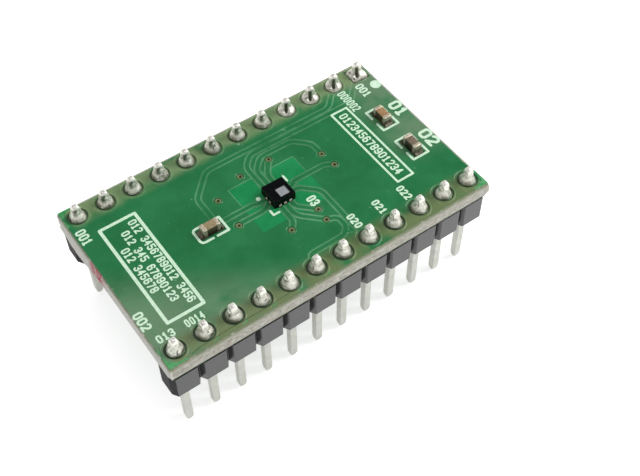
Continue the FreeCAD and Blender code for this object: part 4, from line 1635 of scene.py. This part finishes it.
    def build(self) -> None:
        """Makes the strips, the pins and the solder of both rows."""
        self.strip("strip_rear", REAR_ROW, "header_insulator_rear")
        self.strip("strip_front", FRONT_ROW, "header_insulator_front")
        ripple, size = self.pin_ripple
        pins = Repeater("pin_grid", ripple_mm=ripple, ripple_size_mm=size, ripple_from_mm=STACK.mask_top)
        mesh = pins.build(REAR_ROW + FRONT_ROW, self.pin(), PIN_TIN)
        nodes = [f"header_pin_{number:02d}" for number in range(1, 2 * WAYS + 1)]
        Piece("pins", (PIN_TIN,), "pin_metal", nodes).place(mesh)
        solder = Repeater("joints", 180.0, self.joint_growth, *self.joint_ripple, self.solder_foot)
        front = solder.build(FRONT_ROW, self.joint(CONE), SOLDER)
        Piece("solder_front", (SOLDER,), "solder", ("soldered_lands_front",)).place(front)
        rear = solder.build(REAR_ROW[self.bowls :], self.joint(CONE), SOLDER)
        ripple, size = self.bowl_ripple
        low = Repeater("bowls", ripple_mm=ripple, ripple_size_mm=size, ripple_from_mm=self.solder_foot)
        bowls = low.build(REAR_ROW[1 : self.bowls], self.joint(BOWL, cloven=True), SOLDER)
        first = low.build(REAR_ROW[:1], self.joint(BOWL, square=True, cloven=True), SOLDER)
        mesh = joined([rear, bowls, first])
        Piece("solder_rear", (SOLDER,), "solder", ("soldered_lands_rear",)).place(mesh)

    def vias(self) -> None:
        """Makes the ringed vias with their barrels."""
        top, foot = STACK.laminate_top, STACK.laminate_bottom + self.via_foot
        ring = [(radius, top + rise) for radius, rise in VIA_RING]
        profile = [(ring[0][0], foot), *ring, (ring[-1][0], foot)]
        rings = [[(x, y, z) for x, y in circle(0.0, 0.0, radius, self.via_sides)] for radius, z in profile]
        mesh = Repeater("via_barrels").build(VIAS, lofted(rings, ROUND_DEG, tube=True), VIA_COPPER)
        Piece("via_rings_domed", (VIA_COPPER,), "copper", ("via_rings",)).place(mesh)


def rounded_block(
    size: Sequence[float], centre: Sequence[float], radius: float, segments: int
) -> bmesh.types.BMesh:
    """Builds a block with rolled edges, in millimetres."""
    build = bmesh.new()
    bmesh.ops.create_cube(build, size=1.0)
    bmesh.ops.scale(build, verts=build.verts, vec=size)
    bmesh.ops.bevel(build, geom=build.edges[:], offset=radius, segments=segments, profile=0.5, affect="EDGES")
    bmesh.ops.translate(build, verts=build.verts, vec=centre)
    return build


@dataclass
class Capacitor:
    """A ceramic chip capacitor: a block with two wrapped end caps."""

    number: int
    centre: Point
    along_y: bool
    finish: Finish
    length: float = 1.6
    width: float = 0.8
    height: float = 0.8
    cap: float = 0.36
    cap_radius: float = 0.09
    inset: float = 0.05
    block_radius: float = 0.05
    smooth_deg: float = 35.0
    seat: float = 10.45
    arm: float = 0.35
    rounded: bool = False

    def at(self, along: float, across: float) -> Point:
        """Turns a point of the capacitor's own axes to the board."""
        x, y = self.centre
        return (x - across, y + along) if self.along_y else (x + along, y + across)

    def placed(self, build: bmesh.types.BMesh) -> Mesh:
        """Turns and moves a millimetre build to its place, in metres, shaded smooth."""
        if self.along_y:
            bmesh.ops.rotate(build, verts=build.verts, matrix=Matrix.Rotation(math.pi / 2, 3, "Z"))
        bmesh.ops.translate(build, verts=build.verts, vec=(*self.centre, 0.0))
        bmesh.ops.scale(build, verts=build.verts, vec=(MM, MM, MM))
        mesh = bpy.data.meshes.new("draft")
        build.to_mesh(mesh)
        build.free()
        mesh.polygons.foreach_set("use_smooth", [True] * len(mesh.polygons))
        mesh.set_sharp_from_angle(angle=math.radians(self.smooth_deg))
        return mesh

    def build(self) -> None:
        """Makes the block and the end caps."""
        middle = self.seat + self.height / 2
        size = (self.length - 2 * self.inset, self.width - self.inset, self.height - self.inset)
        block = rounded_block(size, (0.0, 0.0, middle), self.block_radius, 3)
        body = f"capacitor_{self.number}_body"
        Piece(f"ceramic_block_{self.number}", (self.finish,), "ceramic", (body,)).place(self.placed(block))
        caps = []
        for end in (-1, 1):
            centre = (end * (self.length - self.cap) / 2, 0.0, middle)
            cap = rounded_block((self.cap, self.width, self.height), centre, self.cap_radius, 4)
            caps.append(self.placed(cap))
        node = f"capacitor_{self.number}_terminals"
        Piece(f"end_caps_{self.number}", (END_CAP,), "terminal", (node,)).place(joined(caps))


CAPACITORS = [
    Capacitor(1, (12.55, 2.0), True, CERAMIC_ORANGE),
    Capacitor(2, (12.55, -2.1), True, CERAMIC_GREY),
    Capacitor(3, (-6.05, 0.2), False, CERAMIC_TAN, arm=0.2, rounded=True),
]


@dataclass
class SmallParts:
    """The capacitors, the dressed CAD nodes of the chip, the pads and the lower lacquer."""

    def build(self) -> None:
        """Makes the capacitors and gives every CAD node that stays its finish."""
        for capacitor in CAPACITORS:
            capacitor.build()
        dressed = {
            "sensor_package": MOULD_COMPOUND,
            "sensor_substrate": MOULD_COMPOUND,
            "sensor_die": SILICON,
            "sensor_contacts": CONTACT_TIN,
            "component_pads": PAD_TIN,
            "component_solder": FLUX_SOLDER,
            "solder_mask_bottom": LACQUER_COPPER,
        }
        for name, finish in dressed.items():
            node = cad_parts[name]
            node.data.materials.clear()
            node.data.materials.append(finish.material())
            LOG.info("%s: dressed as %s", name, finish.name)


@dataclass
class Studio:
    """The pale floor, the soft lights and the camera of the photograph."""

    camera_place: Spot = (-28.21, -45.89, 75.51)
    forward: Spot = (0.35177, 0.49374, -0.79529)
    right: Spot = (0.81306, -0.58218, -0.0018)
    lens: float = 58.3
    sensor_width: float = 36.0
    clip_start: float = 0.005
    floor_half: float = 1.2
    floor_glow: float = 0.68
    ambient: float = 0.5
    ceiling: Point = (0.3, 0.62)
    ceiling_light: float = 0.16
    aim: Spot = (0.0, 0.0, 8.0)

    # Name, place, size and power of each lamp
    LAMPS = (
        ("key", (210.0, -60.0, 190.0), 170.0, 0.58),
        ("fill", (-20.0, 30.0, 150.0), 60.0, 0.03),
    )

    def camera(self) -> None:
        """Sets the camera."""
        forward, right = Vector(self.forward).normalized(), Vector(self.right).normalized()
        up = right.cross(forward)
        data = bpy.data.cameras.new("photo_camera")
        data.lens = self.lens
        data.sensor_width = self.sensor_width
        data.clip_start = self.clip_start
        camera = linked("photo_camera", data)
        turn = Matrix((right, up, -forward)).transposed().to_4x4()
        camera.matrix_world = Matrix.Translation(Vector(self.camera_place) * MM) @ turn
        bpy.context.scene.camera = camera

    def floor(self) -> None:
        """Lays a pale floor that the camera and the metals see as near white."""
        corners = rectangle(-self.floor_half, -self.floor_half, self.floor_half, self.floor_half)
        mesh = bpy.data.meshes.new("floor")
        mesh.from_pydata([(x, y, 0.0) for x, y in corners], [], [(0, 1, 2, 3)])
        material = bpy.data.materials.new("white_paper")
        material.use_nodes = True
        tree = material.node_tree
        tree.nodes.remove(tree.nodes["Principled BSDF"])
        paper = add_node(tree, "ShaderNodeBsdfDiffuse", {"Color": linear("#DADADA")}).outputs[0]
        light = {"Color": linear("#FFFFFF"), "Strength": self.floor_glow}
        glow = add_node(tree, "ShaderNodeEmission", light).outputs[0]
        lit = add_node(tree, "ShaderNodeAddShader", links={0: paper, 1: glow}).outputs[0]
        path = add_node(tree, "ShaderNodeLightPath").outputs
        seen = self.larger(tree, *(path[f"Is {kind} Ray"] for kind in ("Camera", "Glossy", "Transmission")))
        shown = add_node(tree, "ShaderNodeMixShader", links={0: seen, 1: paper, 2: lit}).outputs[0]
        tree.links.new(shown, tree.nodes["Material Output"].inputs["Surface"])
        mesh.materials.append(material)
        made = linked("floor", mesh)

    def larger(self, tree: Tree, *values: Socket) -> Socket:
        """Gives the largest of several value sockets: 1 where any of those flags is 1."""
        result = values[0]
        for value in values[1:]:
            links = {0: result, 1: value}
            result = add_node(tree, "ShaderNodeMath", links=links, operation="MAXIMUM").outputs[0]
        return result

    def world(self) -> None:
        """Surrounds the scene with a white backdrop that metals see up to where a darker ceiling starts."""
        world = bpy.data.worlds.new("studio")
        world.use_nodes = True
        tree = world.node_tree
        direction = add_node(tree, "ShaderNodeTexCoord").outputs["Generated"]
        rise = add_node(tree, "ShaderNodeSeparateXYZ", links={0: direction}).outputs[2]
        start, end = self.ceiling
        ceiling = add_node(
            tree,
            "ShaderNodeMapRange",
            values={"From Min": start, "From Max": end, "To Min": 1.0, "To Max": self.ceiling_light},
            links={"Value": rise},
            interpolation_type="SMOOTHSTEP",
        ).outputs[0]
        path = add_node(tree, "ShaderNodeLightPath").outputs
        mirrored = self.larger(tree, path["Is Glossy Ray"], path["Is Transmission Ray"])
        links = {0: mirrored, 3: ceiling}
        soft = add_node(tree, "ShaderNodeMix", {2: self.ambient}, links, data_type="FLOAT").outputs[0]
        links = {0: path["Is Camera Ray"], 2: soft}
        strength = add_node(tree, "ShaderNodeMix", {3: 1.0}, links, data_type="FLOAT").outputs[0]
        back = tree.nodes["Background"]
        back.inputs["Color"].default_value = (1.0, 1.0, 1.0, 1.0)
        tree.links.new(strength, back.inputs["Strength"])
        bpy.context.scene.world = world

    def lamp(self, name: str, place: Spot, size: float, power: float) -> None:
        """Hangs one soft square lamp that faces the board."""
        data = bpy.data.lights.new(name, "AREA")
        data.size = size * MM
        data.energy = power
        turn = (Vector(self.aim) - Vector(place)).to_track_quat("-Z", "Y").to_matrix().to_4x4()
        linked(name, data).matrix_world = Matrix.Translation(Vector(place) * MM) @ turn

    def build(self) -> None:
        """Sets the whole stage."""
        self.camera()
        self.floor()
        self.world()
        for lamp in self.LAMPS:
            self.lamp(*lamp)
        bpy.context.scene.view_settings.view_transform = "Standard"


def main() -> None:
    """Builds the stage and every sub-assembly in order, and notes the sizes."""
    logging.basicConfig(level=logging.INFO, format="%(message)s")
    Studio().build()
    rows = PinRows()
    for part in (Laminate(), Circuit(), Legend(), rows, SmallParts()):
        part.build()
    rows.vias()


if __name__ == "__main__":
    main()
